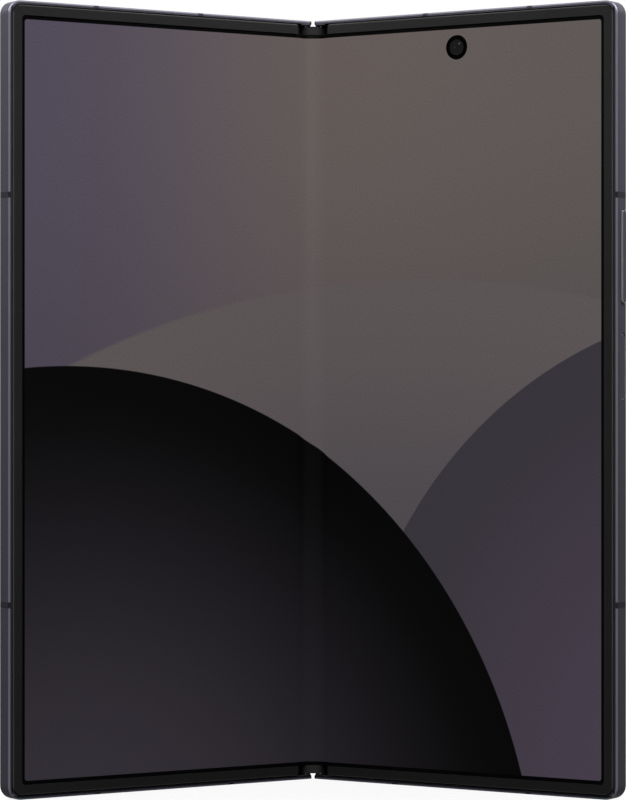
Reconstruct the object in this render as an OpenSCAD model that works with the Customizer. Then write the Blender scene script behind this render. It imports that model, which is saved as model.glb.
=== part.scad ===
// Foldable smartphone, half open and standing on its lower edge like an open book.
// Each half is drawn flat in its own coordinates and then folded about its hinge axis:
//   x runs from the centre plane to the outer edge, y from the bezel face to the back, z up.
// All sizes are in millimetres.

/* [Body] */
// Width of one half, from the centre plane to its outer edge
half_w = 71.6; // [69:0.2:76]
// Height of the body
body_h = 158.4; // [154:0.2:166]
// Thickness of one half
body_t = 4.2; // [4.2:0.05:5]
// Radius of the two outer corners of a half
corner_r = 2.8; // [2.2:0.1:5]
// Angle by which each half is folded towards the other from flat
rest_fold = 32.6; // [10:0.2:60]

/* [Frame] */
// Width of the metal rim in front
rim_w = 0.7; // [0.6:0.05:1.2]
// Thickness of the frame's side walls
wall_w = 1.6; // [1.4:0.05:2]
// Chamfer around the front edge
front_chamfer = 0.45; // [0.2:0.05:0.6]
// Chamfer around the back edge
back_chamfer = 0.3; // [0.1:0.05:0.4]
// Thickness of the plate between the display and the bays
midplate_t = 0.25; // [0.2:0.01:0.3]
// Width of the rib between the hinge pocket and the bays
rib_w = 0.95; // [0.8:0.05:1.2]
// Half of the gap between the two halves at the front
gap_front = 0.56; // [0.56:0.02:0.8]
// Half of the gap between the two halves at the back
gap_back = 0.15; // [0.1:0.01:0.3]
// Depth at which the gap has narrowed to its width at the back
gap_taper_t = 1.4; // [1.3:0.1:2]
// Cut at the front corner of each wall end
lip_cut = 0.25; // [0.1:0.05:0.4]
// Width of an antenna band
band_w = 1.2; // [0.8:0.1:2]
// Distance of the side bands from the upper and lower edges
band_side_in = 38.6; // [30:0.2:42]
// Distance of the upper edge's inner bands from the centre plane
band_top_in = 27.5; // [22:0.1:30]
// Distance of the upper edge's outer bands from the side edge
band_top_out = 19.8; // [18:0.1:26]
// Distance of the lower edge's inner bands from the centre plane
band_bottom_in = 20.2; // [16:0.1:22]
// Distance of the lower edge's outer bands from the side edge
band_bottom_out = 20.1; // [19:0.1:22]

/* [Display] */
// Depth of the display's face behind the bezel's face
display_sink = 0.3; // [0.2:0.05:0.4]
// Thickness of the flexible display
display_t = 0.45; // [0.35:0.01:0.5]
// Thickness of the metal plate behind the display
plate_t = 0.2; // [0.15:0.01:0.25]
// Distance from the body's edge to the display's edge
display_inset = 2.2; // [2:0.05:2.4]
// Distance from the body's edge to the bezel's inner edge
bezel_inset = 2.9; // [2.7:0.05:3.4]
// Gap between the bezel and the metal rim
bezel_gap = 0.2; // [0.08:0.01:0.24]
// Distance from the centre plane to the bezel's ends
bezel_end_u = 3.95; // [3.9:0.05:4.2]
// Radius of the bezel's inner corners
bezel_inner_r = 0.9; // [0.5:0.1:1.5]
// Radius at the bezel's ends
bezel_end_r = 0.6; // [0.3:0.05:0.8]
// Chamfer around the bezel's face
bezel_chamfer = 0.15; // [0.05:0.01:0.2]
// Half width of the zone in which the display bends
fold_half = 4; // [3.8:0.1:4.4]

/* [Hinge] */
// Distance of each fold axis from the centre plane
axis_u = 1.125; // [1.1:0.005:1.15]
// Depth of the fold axes behind the bezel's face
axis_t = 0.875; // [0.85:0.005:0.9]
// Radius of the spine's round sides about the fold axes
spine_r = 2.375; // [2.3:0.005:2.4]
// Wall of the spine's cover
spine_wall = 0.5; // [0.4:0.05:0.6]
// Gap between the spine and the pockets in the halves
spine_gap = 0.15; // [0.1:0.01:0.2]
// Gap between the spine's ends and the frame's walls
spine_end_gap = 0.5; // [0.3:0.05:0.6]
// Depth at which the spine's cover begins
cover_front_t = 1.3; // [1.25:0.01:1.35]
// Depth at which the rail housings begin
housing_front_t = 1; // [0.95:0.01:1.1]
// Length of a hinge module along the spine, from the cap
module_len = 26.3; // [26:0.1:30]
// Length of the caps at the spine's ends
cap_len = 1.7; // [1.5:0.1:2]
// Half width of the caps' round fronts
cap_half_w = 2.7; // [2.5:0.05:2.9]
// Depth of the caps' fronts at the centre plane
cap_front_t = 0.1; // [0:0.01:0.2]
// Radius of the caps' fronts
cap_front_r = 4.2; // [3.5:0.1:6]
// Inner radius of the swing arms' curved tongues
tongue_r0 = 1.15; // [1.12:0.01:1.2]
// Outer radius of the swing arms' curved tongues
tongue_r1 = 1.75; // [1.7:0.01:1.78]
// Clearance of a tongue or a shaft in its seat
hinge_fit = 0.05; // [0.03:0.01:0.06]
// Width of a swing arm along the spine
arm_len = 4; // [3.5:0.1:4.5]
// Front face of the arms
arm_t0 = 1.45; // [1.42:0.01:1.5]
// Thickness of the arms
arm_th = 0.42; // [0.36:0.01:0.45]
// Distance of the outer gears from the centre plane
gear_u = 1.9; // [1.85:0.01:1.92]
// Depth of the gears' axes
gear_t = 1.65; // [1.62:0.01:1.68]
// Teeth on each gear
gear_teeth = 10; // [10:2:12]
// Radius of a gear shaft
shaft_r = 0.25; // [0.2:0.01:0.28]
// Depth of the wing plates' faces when the phone is flat
wing_t0 = 1; // [0.98:0.01:1.05]
// Thickness of the wing plates
wing_th = 0.15; // [0.12:0.01:0.2]
// Distance from the centre plane to the wing plates' free edges
wing_tip_u = 2; // [1.9:0.05:2.2]
// Distance from the centre plane to the wing plates' pivots
wing_pivot_u = 5.5; // [5.4:0.05:5.6]
// Depth of the wing plates' pivots
wing_pivot_t = 1.58; // [1.54:0.01:1.64]
// Tilt of a wing plate for each degree of fold
wing_ratio = 0.222; // [0.2:0.001:0.23]

/* [Back] */
// Thickness of the back glass and of the cover display's glass
glass_t = 0.6; // [0.5:0.05:0.7]
// Distance from the body's edge to the glass
glass_inset = 1; // [0.9:0.05:1.2]
// Distance from the centre plane to the glass
glass_u0 = 4; // [3.9:0.05:4.3]
// Gap around the glass
glass_gap = 0.06; // [0.04:0.01:0.1]
// Width of the camera island
island_w = 16; // [15:0.5:18]
// Height by which the camera island stands out of the glass
island_t = 1.2; // [0.8:0.1:1.6]
// Distance from the outer edge to the island's centre line
island_inset = 11.6; // [11:0.1:13]
// Distance from the top edge to the uppermost lens
lens_top = 13.4; // [12.5:0.1:16]
// Distance from one lens to the next
lens_pitch = 18.5; // [17:0.5:20]
// Radius of a lens glass
lens_r = 5.2; // [4.5:0.1:5.4]
// Width of the ring around a lens
ring_w = 1.3; // [0.8:0.1:1.6]
// Height of the rings above the island
ring_t = 0.55; // [0.4:0.05:0.8]
// Radius of the flash lens
flash_r = 2.2; // [1.5:0.1:2.5]

/* [Inner camera] */
// Distance of the inner camera from the centre plane
inner_cam_u = 34.8; // [20:0.2:50]
// Distance of the inner camera from the top edge
inner_cam_top = 7.4; // [6.5:0.1:9]
// Radius of the inner camera's black ring
inner_cam_r = 2.475; // [1.5:0.05:2.6]
// Radius of the inner camera's lens
inner_lens_r = 1.65; // [1:0.05:1.8]

/* [Keys] */
// Width of the keys across the edge
key_w = 1.6; // [1.2:0.05:1.7]
// Depth of the keys' centre lines behind the bezel's face
key_t = 2.75; // [2.6:0.01:2.8]
// Length of the volume key
volume_len = 18.5; // [14:0.5:22]
// Distance of the volume key's centre from the upper edge
volume_top = 50.8; // [48.4:0.2:54.4]
// Height by which the volume key stands out
volume_out = 0.3; // [0.2:0.05:0.4]
// Length of the side key
side_len = 13.1; // [11:0.1:15]
// Distance of the side key's centre from the upper edge
side_top = 72.65; // [70.4:0.05:76.4]
// Depth of the side key's face in its slot
side_sink = 0.12; // [0:0.01:0.2]
// Gap around a key
key_gap = 0.2; // [0.12:0.01:0.3]
// Travel of a key
key_travel = 0.22; // [0.15:0.01:0.25]

/* [Sockets] */
// Distance of the charging socket from the centre plane
usb_u = 38; // [36:0.5:42]
// Opening of the charging socket, across and through the thickness
usb_open = [8.34, 2.56];
// Depth of the charging socket's centre
usb_t = 2.2; // [2.2:0.01:2.22]
// Wall of the charging socket's shell
usb_wall = 0.1; // [0.08:0.01:0.12]
// Length of the charging socket
usb_len = 6.8; // [6:0.1:7.5]
// Distance of the card tray from the centre plane
tray_u = 34; // [30:0.5:40]
// Width of the card tray
tray_w = 12.5; // [12:0.1:14]
// Length of the card tray
tray_len = 15.5; // [14:0.5:18]
// Thickness of the card tray
tray_t = 0.8; // [0.7:0.05:0.9]
// Depth of the card tray's centre
tray_mid_t = 2.1; // [2.05:0.01:2.15]
// Clearance around the card tray
tray_gap = 0.06; // [0.04:0.01:0.1]

/* [Inside] */
// Thickness of the batteries
battery_t = 1.9; // [1.7:0.05:1.95]
// Clearance between the parts inside
inner_gap = 0.1; // [0.06:0.01:0.12]
// Width kept free beside the rib for the hinge brackets
bracket_zone = 8; // [7.5:0.1:9]
// Thickness of the circuit boards
board_t = 0.6; // [0.5:0.05:0.65]
// Depth at which the boards begin
board_t0 = 2.1; // [2.08:0.01:2.15]
// Height of the batteries' lower edges
battery_z0 = 30.5; // [30.5:0.1:32]
// Distance of the right half's battery from the upper edge
right_battery_top = 65.9; // [65.9:0.2:72]
// Outer radius of the charging coil
coil_r = 22; // [18:0.5:25]
// Radius of the space inside the charging coil
coil_hole_r = 13; // [10:0.5:16]
// Thickness of the charging coil
coil_t = 0.2; // [0.1:0.02:0.2]
// Height of the shields over the chips
shield_t = 0.7; // [0.5:0.05:0.75]
// Length of a speaker
speaker_len = 13; // [11:0.5:14]
// Height of a speaker
speaker_h = 5.3; // [4:0.1:6]
// Thickness of a speaker
speaker_t = 1.9; // [1.5:0.05:2]
// Distance of the lower speaker from the outer edge
speaker_inset = 11.1; // [9:0.1:12]
// Distance of the upper speaker from the outer edge
earpiece_inset = 33.6; // [32:0.1:35]
// Radius of a sound hole
sound_hole_r = 0.5; // [0.3:0.05:0.7]
// Distance from one sound hole to the next
sound_hole_pitch = 2; // [1.6:0.1:2.2]
// Radius of a microphone hole
mic_hole_r = 0.4; // [0.25:0.05:0.5]
// Length of the vibration motor
motor_len = 9; // [7:0.5:10]
// Distance of the cover camera from the top edge
cover_cam_top = 9.4; // [8:0.1:12]
// Distance of the cover camera from the side edge
cover_cam_in = 17.6; // [16:0.1:19]
// Radius of the cover camera's lens
cover_cam_r = 1.6; // [1.2:0.05:2]
// Side of the cover camera's body
cover_cam_side = 7; // [6:0.1:8]
// Thickness of the cover display's panel
panel_t = 0.3; // [0.2:0.02:0.32]
// Length of a magnet
magnet_len = 16; // [10:1:20]
// Width of a magnet
magnet_w = 1.7; // [1.2:0.05:1.8]
// Radius of the screws
screw_r = 0.3; // [0.25:0.01:0.32]
// Height of the screws' heads
screw_head_t = 0.3; // [0.2:0.02:0.35]

/* [Hidden] */
$fn = 48;

// Colours
metal_colour = "#55545c";
bezel_colour = "#1c1c1c";
steel_colour = "#8b8d92";
board_colour = "#1f3d2b";
cell_colour = "#26262a";
screen_colour = "#4a4350";
dark_colour = "#141416";

// Overshoot of a cut past the face that it opens
over = 1;

// Depths of the layers, from the bezel's face
screen_back_t = display_sink + display_t;
seat_t = screen_back_t + plate_t;
bay_t0 = seat_t + midplate_t;
glass_t0 = body_t - glass_t;

// Pocket for the spine and the bays behind it
pocket_u = axis_u + spine_r + spine_gap;
pocket_t = axis_t + spine_r + spine_gap;
bay_u0 = pocket_u + rib_w;
bay_u1 = half_w - wall_w;
parts_u0 = bay_u0 + bracket_zone;
parts_u1 = bay_u1 - 2.5;
pack_t0 = bay_t0 + inner_gap;

// Spine
spine_z0 = rim_w + spine_end_gap;
spine_in_r = spine_r - spine_wall;
spine_back_t = axis_t + spine_r;
housing_z0 = spine_z0 + cap_len;
module_z1 = housing_z0 + module_len;
housing_clear = 0.03;

// Stations along a hinge module, from its cap
right_arm_z = housing_z0 + 1.1;
left_arm_z = right_arm_z + arm_len + 1;
gear_wall_z = left_arm_z + arm_len + 0.1;
gear_wall = 1;
chamber_z0 = gear_wall_z + gear_wall;
gear_len = 1.9;
link_len = 2;
chamber_gap = 0.1;
link_z0 = chamber_z0 + chamber_gap + gear_len + chamber_gap;
chamber_z1 = link_z0 + link_len + chamber_gap;
spring_z0 = chamber_z1 + gear_wall;
spring_z1 = module_z1 - gear_wall;
arm_t1 = arm_t0 + arm_th;
notch_t = arm_t1 + hinge_fit;

// Swing arms: angles are measured about the fold axis, from outwards towards the back
tongue_a0 = 35;
tongue_a1 = 160;
sweep_spare = 4;
open_a0 = -95;
open_over = 25;

// Gears
gear_pitch_r = gear_u / 3;
gear_tip_r = gear_pitch_r + 0.085;
gear_root_r = gear_pitch_r - 0.125;

// Travel of a link arm's tongue against its half
link_reach = norm([gear_u - axis_u, gear_t - axis_t]);
link_rise = link_reach - (gear_t - axis_t);
link_half_th = 0.2;
link_end_u = 7;
roof_t0 = gear_t + link_half_th + link_rise + 0.1;
bracket_t1 = 2.9;
bracket_u0 = bay_u0 + 0.3;
bracket_u1 = parts_u0 - 0.5;

// Wing plates
wing_z0 = module_z1 + 1.3;
wing_z1 = body_h - wing_z0;
wing_slot_u = wing_pivot_u + 0.5;
wing_lug = 1.5;
wing_pin_r = 0.25;
wing_boss = 1;
wing_end_gap = 0.1;

// Flexible cable across the hinge
flex_w = 12;
flex_th = 0.12;
flex_t = 1.92;
flex_drop = 17.5;
flex_z0 = body_h - module_z1 - flex_drop;
flex_end_u = 9.5;
flex_sag_t = 2.35;
board_edge = 1;

// Spine's centre plate, which carries the display at the fold
core_t0 = 1.3;
core_th = 0.3;
ridge_w = 0.9;
ridge_t0 = screen_back_t + 0.05;
core_z0 = module_z1 + 1.3;
core_z1 = flex_z0 - 1.5;

// Screws
bracket_screw_inset = 2;
bracket_screw_u = bracket_u1 - bracket_screw_inset;
screw_z = [housing_z0 + 0.55, (spring_z0 + spring_z1) / 2];
bracket_screw_z = [housing_z0 + 3, wing_z0 - 4];

// Floor of the open stretches of the rail housings, and depth of the wing slots
chamber_t = gear_t + gear_tip_r + 0.07;
wing_slot_t = 1.9;

// Camera island
island_u = half_w - island_inset;
lens_z = [for (i = [0:2]) body_h - lens_top - i * lens_pitch];
island_z0 = lens_z[2] - island_w / 2;
island_z1 = lens_z[0] + island_w / 2;
flash_u = island_u - island_w / 2 - flash_r - 2.2;

// Stations of the inner parts
usb_z0 = 0.6;
speaker_u = half_w - speaker_inset;
earpiece_u = half_w - earpiece_inset;
volume_z = body_h - volume_top;
side_z = body_h - side_top;
band_side_off = body_h / 2 - band_side_in;
right_battery_h = body_h - right_battery_top - battery_z0;
motor_u = 26;
mic_u = 46;
magnet_gap = 6;
magnet_z = [battery_z0 + 3.5, battery_z0 + 3.5 + magnet_len + magnet_gap];
panel_margin = 0.6;
cover_cam_u = half_w - cover_cam_in;
cover_cam_z = body_h - cover_cam_top;
pack_gap = 1.5;
left_battery_h = flex_z0 - board_edge - pack_gap - battery_z0;
board_z0 = battery_z0 + right_battery_h + pack_gap;
board_z1 = body_h - inner_cam_top - 5.1;
board_u1 = island_u - island_w / 2 - board_edge;
flex_board_u = bay_u0 + 2.4;

// Distances to the extreme front and back of the folded body, for the origin
function fold_y(u, t) = axis_t - (u - axis_u) * sin(rest_fold) + (t - axis_t) * cos(rest_fold);
front_y = min(fold_y(half_w, front_chamfer), fold_y(half_w - front_chamfer, 0));
back_y = max(spine_back_t, fold_y(gap_back, body_t));
hinge_y = -(front_y + back_y) / 2;

// ---------------------------------------------------------------- placing

// Turns a flat right half about its fold axis
module folded(angle) {
  translate([axis_u, axis_t, 0]) rotate(-angle) translate([-axis_u, -axis_t, 0]) children();
}

module spine_pose() { translate([0, hinge_y, 0]) children(); }

module right_pose() { spine_pose() folded(rest_fold) children(); }

module left_pose() { mirror([1, 0, 0]) right_pose() children(); }

module upside_down() { translate([0, 0, body_h]) mirror([0, 0, 1]) children(); }

module both_ends() {
  children();
  upside_down() children();
}

// ---------------------------------------------------------------- shapes

// Box between two corners
module block(u0, u1, t0, t1, z0, z1) {
  translate([u0, t0, z0]) cube([u1 - u0, t1 - t0, z1 - z0]);
}

// Cylinder through the thickness
module peg(u, z, t0, t1, r, r_end = -1) {
  translate([u, t0, z]) rotate([-90, 0, 0])
    cylinder(h = t1 - t0, r1 = r, r2 = r_end < 0 ? r : r_end);
}

// Cylinder along the spine
module rod(u, t, z0, z1, r) { translate([u, t, z0]) cylinder(h = z1 - z0, r = r); }

// Prism along the spine from points given as [x, y]
module prism(points, z0, z1) {
  translate([0, 0, z0]) linear_extrude(height = z1 - z0) polygon(points);
}

// Plate whose two outer corners are rounded
module plate(u0, u1, t0, t1, z0, z1, r) {
  block(u0, u1 - r, t0, t1, z0, z1);
  block(u1 - 2 * r, u1, t0, t1, z0 + r, z1 - r);
  for (z = [z0 + r, z1 - r]) peg(u1 - r, z, t0, t1, r);
}

// Plate that is rounded at all four corners
module card(u0, u1, t0, t1, z0, z1, r) {
  block(u0 + r, u1 - r, t0, t1, z0, z1);
  block(u0, u1, t0, t1, z0 + r, z1 - r);
  for (u = [u0 + r, u1 - r], z = [z0 + r, z1 - r]) peg(u, z, t0, t1, r);
}

// Outline of a chamfered plate across its edge, with its near edge chamfered too if wanted
function edge_points(a0, a1, t0, t1, cf, cb, near) = concat(
  [[a1 - cf, t0], [a1, t0 + cf], [a1, t1 - cb], [a1 - cb, t1]],
  near ? [[a0 + cb, t1], [a0, t1 - cb], [a0, t0 + cf], [a0 + cf, t0]] : [[a0, t1], [a0, t0]]
);

// Plate with rounded outer corners, and chamfers at its front and back edges
module slab(u0, u1, t0, t1, z0, z1, r, cf, cb) {
  prism(edge_points(u0, u1, t0, t1, cf, cb, false), z0 + r, z1 - r);
  translate([u0, 0, 0]) rotate([90, 0, 90]) linear_extrude(height = u1 - r - u0)
    polygon([for (p = edge_points(z0, z1, t0, t1, cf, cb, true)) [p.y, p.x]]);
  for (z = [z0 + r, z1 - r]) {
    peg(u1 - r, z, t0, t0 + cf, r - cf, r);
    peg(u1 - r, z, t0 + cf, t1 - cb, r);
    peg(u1 - r, z, t1 - cb, t1, r, r - cb);
  }
}

// Long rounded opening along the bottom edge, as for a socket
module stadium(u, t, w, h, z0, z1) {
  r = h / 2;
  block(u - w / 2 + r, u + w / 2 - r, t - r, t + r, z0, z1);
  for (s = [-1, 1]) rod(u + s * (w / 2 - r), t, z0, z1, r);
}

// Long rounded key through the outer edge
module key_bar(u0, u1, z, len, w) {
  r = w / 2;
  block(u0, u1, key_t - r, key_t + r, z - len / 2 + r, z + len / 2 - r);
  for (s = [-1, 1]) translate([u0, key_t, z + s * (len / 2 - r)]) rotate([0, 90, 0])
    cylinder(h = u1 - u0, r = r);
}

// Wedge about a point, between two angles up to 180 degrees apart
module wedge(u, t, a0, a1, z0, z1) {
  reach = 12;
  steps = 6;
  turn = (a1 - a0) / steps;
  prism(concat([[u, t]], [for (i = [0:steps])
    [u + reach * cos(a0 + i * turn), t + reach * sin(a0 + i * turn)]]), z0, z1);
}

// Part of a ring about the right fold axis
module ring_part(r0, r1, a0, a1, z0, z1) {
  intersection() {
    difference() {
      rod(axis_u, axis_t, z0, z1, r1);
      rod(axis_u, axis_t, z0 - over, z1 + over, r0);
    }
    wedge(axis_u, axis_t, a0, a1, z0, z1);
  }
}

// Round-sided outline of the spine at a given radius, from a given depth backwards
module spine_body(r, front_t, z0, z1) {
  intersection() {
    union() {
      for (s = [-1, 1]) rod(s * axis_u, axis_t, z0, z1, r);
      block(-axis_u, axis_u, axis_t, axis_t + r, z0, z1);
    }
    block(-spine_r * 2, spine_r * 2, front_t, body_t + over, z0, z1);
  }
}

// ---------------------------------------------------------------- spine

// Notches in the cover's edge for the arms of the right half
module arm_notches() {
  for (z = [[right_arm_z, arm_len], [link_z0, link_len]])
    block(axis_u, spine_r * 2, 0, notch_t, z[0] - hinge_fit, z[0] + z[1] + hinge_fit);
}

module left_arm_notches() {
  for (z = [[left_arm_z, arm_len], [link_z0, link_len]])
    block(-spine_r * 2, -axis_u, 0, notch_t, z[0] - hinge_fit, z[0] + z[1] + hinge_fit);
}

module spine_screw_holes() {
  for (z = screw_z) peg(0, z, cover_front_t, spine_back_t - 0.15, screw_r);
}

module spine_cover() {
  color(metal_colour) spine_pose() difference() {
    spine_body(spine_r, cover_front_t, housing_z0, body_h - housing_z0);
    spine_body(spine_in_r, 0, housing_z0 - over, body_h - housing_z0 + over);
    both_ends() {
      arm_notches();
      left_arm_notches();
      spine_screw_holes();
    }
  }
}

// Plate under the middle of the display
module spine_core() {
  color(steel_colour) spine_pose() {
    core_w = spine_in_r - 0.1;
    intersection() {
      union() {
        block(-axis_u - core_w, axis_u + core_w, core_t0, core_t0 + core_th, core_z0, core_z1);
        block(-ridge_w, ridge_w, ridge_t0, core_t0 + core_th, core_z0, core_z1);
        for (s = [-1, 1])
          block(s * axis_u - 0.3, s * axis_u + 0.3, core_t0, spine_back_t, core_z0, core_z1);
      }
      spine_body(spine_in_r - housing_clear, 0, core_z0, core_z1);
    }
  }
}

// Grooves and free space for the right half's arms in a rail housing
module arm_grooves() {
  z0 = right_arm_z - hinge_fit;
  z1 = right_arm_z + arm_len + hinge_fit;
  ring_part(tongue_r0 - hinge_fit, tongue_r1 + hinge_fit, tongue_a0, tongue_a1 + sweep_spare, z0, z1);
  ring_part(tongue_r0 - hinge_fit, spine_r * 2, open_a0, tongue_a0 + open_over, z0, z1);
}

module rail_housing() {
  difference() {
    spine_body(spine_in_r - housing_clear, housing_front_t, housing_z0, module_z1);
    arm_grooves();
    translate([0, 0, left_arm_z - right_arm_z]) mirror([1, 0, 0]) arm_grooves();
    block(-spine_r * 2, spine_r * 2, 0, chamber_t, chamber_z0, chamber_z1);
    block(-spine_r * 2, spine_r * 2, 0, chamber_t, spring_z0, spring_z1);
    for (s = [-1, 1]) {
      rod(s * gear_u, gear_t, gear_wall_z, module_z1 + over, shaft_r + hinge_fit);
      rod(s * gear_pitch_r, gear_t, gear_wall_z, spring_z0 + over, shaft_r + hinge_fit);
    }
    spine_screw_holes();
    for (z = screw_z) peg(0, z, 0, cover_front_t, screw_r * 1.7);
  }
}

module rail_housing_bottom() { color(steel_colour) spine_pose() rail_housing(); }

module rail_housing_top() { color(steel_colour) spine_pose() upside_down() rail_housing(); }

// Round front of a cap, with a thin lip at its outer end
module cap_front(half, front, z0, z1) {
  intersection() {
    rod(0, front + cap_front_r, z0, z1, cap_front_r);
    block(-half, half, 0, cover_front_t, z0, z1);
  }
}

module hinge_cap() {
  spine_body(spine_r, cover_front_t, spine_z0, housing_z0);
  cap_front(cap_half_w, cap_front_t, spine_z0, housing_z0);
  cap_front(cap_half_w + 0.12, cap_front_t - 0.05, spine_z0, spine_z0 + 0.25);
}

module hinge_cap_bottom() { color(dark_colour) spine_pose() hinge_cap(); }

module hinge_cap_top() { color(dark_colour) spine_pose() upside_down() hinge_cap(); }

// Screws that hold each rail housing to the cover
module spine_screws() {
  color(dark_colour) spine_pose() both_ends() for (z = screw_z) {
    head_t = z < gear_wall_z ? cover_front_t - screw_head_t : chamber_t - screw_head_t;
    peg(0, z, head_t, spine_back_t - 0.2, screw_r - hinge_fit / 2);
    peg(0, z, head_t, head_t + screw_head_t, screw_r * 1.6);
  }
}

// Coil of round wire, as a closed sweep with flat ends
module coil(u, t, z0, z1, mean_r, wire_r, turns) {
  sides = 6;
  ring_step = 40;
  rings = turns * 360 / ring_step;
  pitch = (z1 - z0 - 2 * wire_r) / turns;
  points = [for (i = [0:rings], j = [0:sides - 1])
    let (a = i * ring_step, b = j * 360 / sides, r = mean_r + wire_r * cos(b))
    [u + r * cos(a), t + r * sin(a), z0 + wire_r + pitch * a / 360 + wire_r * sin(b)]];
  skin = [for (i = [0:rings - 1], j = [0:sides - 1])
    let (k = (j + 1) % sides)
    each [[i * sides + j, (i + 1) * sides + j, (i + 1) * sides + k],
      [i * sides + j, (i + 1) * sides + k, i * sides + k]]];
  polyhedron(points, concat(skin,
    [[for (j = [0:sides - 1]) j]], [[for (j = [sides - 1:-1:0]) rings * sides + j]]));
}

// Springs on the outer gear shafts, which hold the hinge where it is put
module detent_springs() {
  color(steel_colour) spine_pose() both_ends() for (s = [-1, 1])
    coil(s * gear_u, gear_t, spring_z0 + 0.1, spring_z1 - 0.1, 0.47, 0.11, 5);
}

// Where a point of the flat right half lies after the display has bent
function bend(u, t) =
  let (s = u / fold_half, a = rest_fold * s * s * (3 - 2 * s), x = u - axis_u, y = t - axis_t)
  [axis_u + x * cos(a) + y * sin(a), axis_t - x * sin(a) + y * cos(a)];

function mirrored(points) = [for (i = [len(points) - 1:-1:0]) [-points[i].x, points[i].y]];

// Middle of the display, bent to the rest pose
module display_fold_zone() {
  steps = 16;
  edge = bezel_inset + 0.05;
  front = [for (i = [0:steps]) bend(i * fold_half / steps, display_sink)];
  back = [for (i = [steps:-1:0]) bend(i * fold_half / steps, screen_back_t)];
  right = concat(front, back);
  color(screen_colour) spine_pose() {
    prism(right, edge, body_h - edge);
    prism(mirrored(right), edge, body_h - edge);
  }
}

// Middle line of the cable, from the right half's board to the centre plane
flex_line = [
  [flex_end_u, flex_t], [bay_u0, flex_t], [pocket_u - 0.2, flex_t]
];

// Flexible cable between the boards, bent to the rest pose
module hinge_flex() {
  side = [for (p = flex_line) let (q = turned(p.x, p.y, rest_fold)) q];
  drop = [side[2], [2.2, 1.35], [1.1, 2.1], [0, flex_sag_t]];
  line = concat([side[0], side[1]], drop);
  under = [for (i = [len(line) - 1:-1:0]) line[i] + [0, flex_th]];
  right = concat(line, under);
  color("#7a4a1e") spine_pose() {
    prism(right, flex_z0, flex_z0 + flex_w);
    prism(mirrored(right), flex_z0, flex_z0 + flex_w);
  }
}

function turned(u, t, a) = let (x = u - axis_u, y = t - axis_t)
  [axis_u + x * cos(a) + y * sin(a), axis_t - x * sin(a) + y * cos(a)];

// ---------------------------------------------------------------- gears and links

function polar(r, a) = [r * cos(a), r * sin(a)];

// Toothed outline; first is the angle of the first tooth
function gear_points(first) = [for (i = [0:gear_teeth - 1])
  let (a = first + i * 360 / gear_teeth, w = 90 / gear_teeth)
  each [polar(gear_root_r, a - w * 1.1), polar(gear_tip_r, a - w * 0.4),
    polar(gear_tip_r, a + w * 0.4), polar(gear_root_r, a + w * 1.1)]];

module gear(u, first) {
  translate([u, gear_t, chamber_z0 + chamber_gap]) linear_extrude(height = gear_len)
    polygon(gear_points(first));
}

// Outer gear with its shaft and the arm that slides in the half
module sync_shaft(first) {
  gear(gear_u, first);
  rod(gear_u, gear_t, gear_wall_z + 0.1, module_z1 - 0.1, shaft_r);
  translate([gear_u, gear_t, 0]) rotate(-rest_fold) {
    rod(0, 0, link_z0, link_z0 + link_len, 0.42);
    block(0, link_end_u - gear_u, -link_half_th, link_half_th, link_z0, link_z0 + link_len);
  }
}

module idler() {
  gear(gear_pitch_r, 180 / gear_teeth);
  rod(gear_pitch_r, gear_t, gear_wall_z + 0.1, spring_z0 - 0.1, shaft_r);
}

module right_sync_shafts() { color(steel_colour) spine_pose() both_ends() sync_shaft(0); }

module left_sync_shafts() {
  color(steel_colour) spine_pose() mirror([1, 0, 0]) both_ends() sync_shaft(180 / gear_teeth);
}

module right_idlers() { color(steel_colour) spine_pose() both_ends() idler(); }

// The left idlers are turned by half a tooth so that they mesh with the right ones
module left_idlers() {
  color(steel_colour) spine_pose() both_ends() {
    gear(-gear_pitch_r, 0);
    rod(-gear_pitch_r, gear_t, gear_wall_z + 0.1, spring_z0 - 0.1, shaft_r);
  }
}

// Thin plate beside the fold that tilts away as the phone closes
module wing_plate() {
  translate([wing_pivot_u, wing_pivot_t, 0]) rotate(-rest_fold * wing_ratio)
    translate([-wing_pivot_u, -wing_pivot_t, 0]) {
      block(wing_tip_u, wing_pivot_u, wing_t0, wing_t0 + wing_th, wing_z0, wing_z1);
      both_ends() {
        block(wing_pivot_u - 0.4, wing_pivot_u, wing_t0, wing_pivot_t, wing_z0, wing_z0 + wing_lug);
        rod(wing_pivot_u, wing_pivot_t, wing_z0 - wing_boss, wing_z0 + wing_lug, wing_pin_r);
      }
    }
}

module right_wing_plate() { color(steel_colour) right_pose() wing_plate(); }

module left_wing_plate() { color(steel_colour) left_pose() wing_plate(); }

// ---------------------------------------------------------------- frames of the halves

module outer_slab() {
  slab(0, half_w, 0, body_t, 0, body_h, corner_r, front_chamfer, back_chamfer);
}

// Space outside the wall ends beside the centre plane
module end_gap() {
  prism([[-over, -over], [gap_front + lip_cut, -over], [gap_front + lip_cut, 0],
    [gap_front, lip_cut], [gap_back, gap_taper_t], [gap_back, body_t + over],
    [-over, body_t + over]], -over, body_h + over);
}

module front_recess() {
  plate(-over, half_w - rim_w, -over, seat_t, rim_w, body_h - rim_w, corner_r - rim_w);
}

module bay() {
  plate(bay_u0, bay_u1, bay_t0, glass_t0 + over, wall_w, body_h - wall_w, corner_r - wall_w);
}

module glass_seat() {
  card(glass_u0, half_w - glass_inset, glass_t0, body_t + over, glass_inset,
    body_h - glass_inset, corner_r - glass_inset);
}

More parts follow.
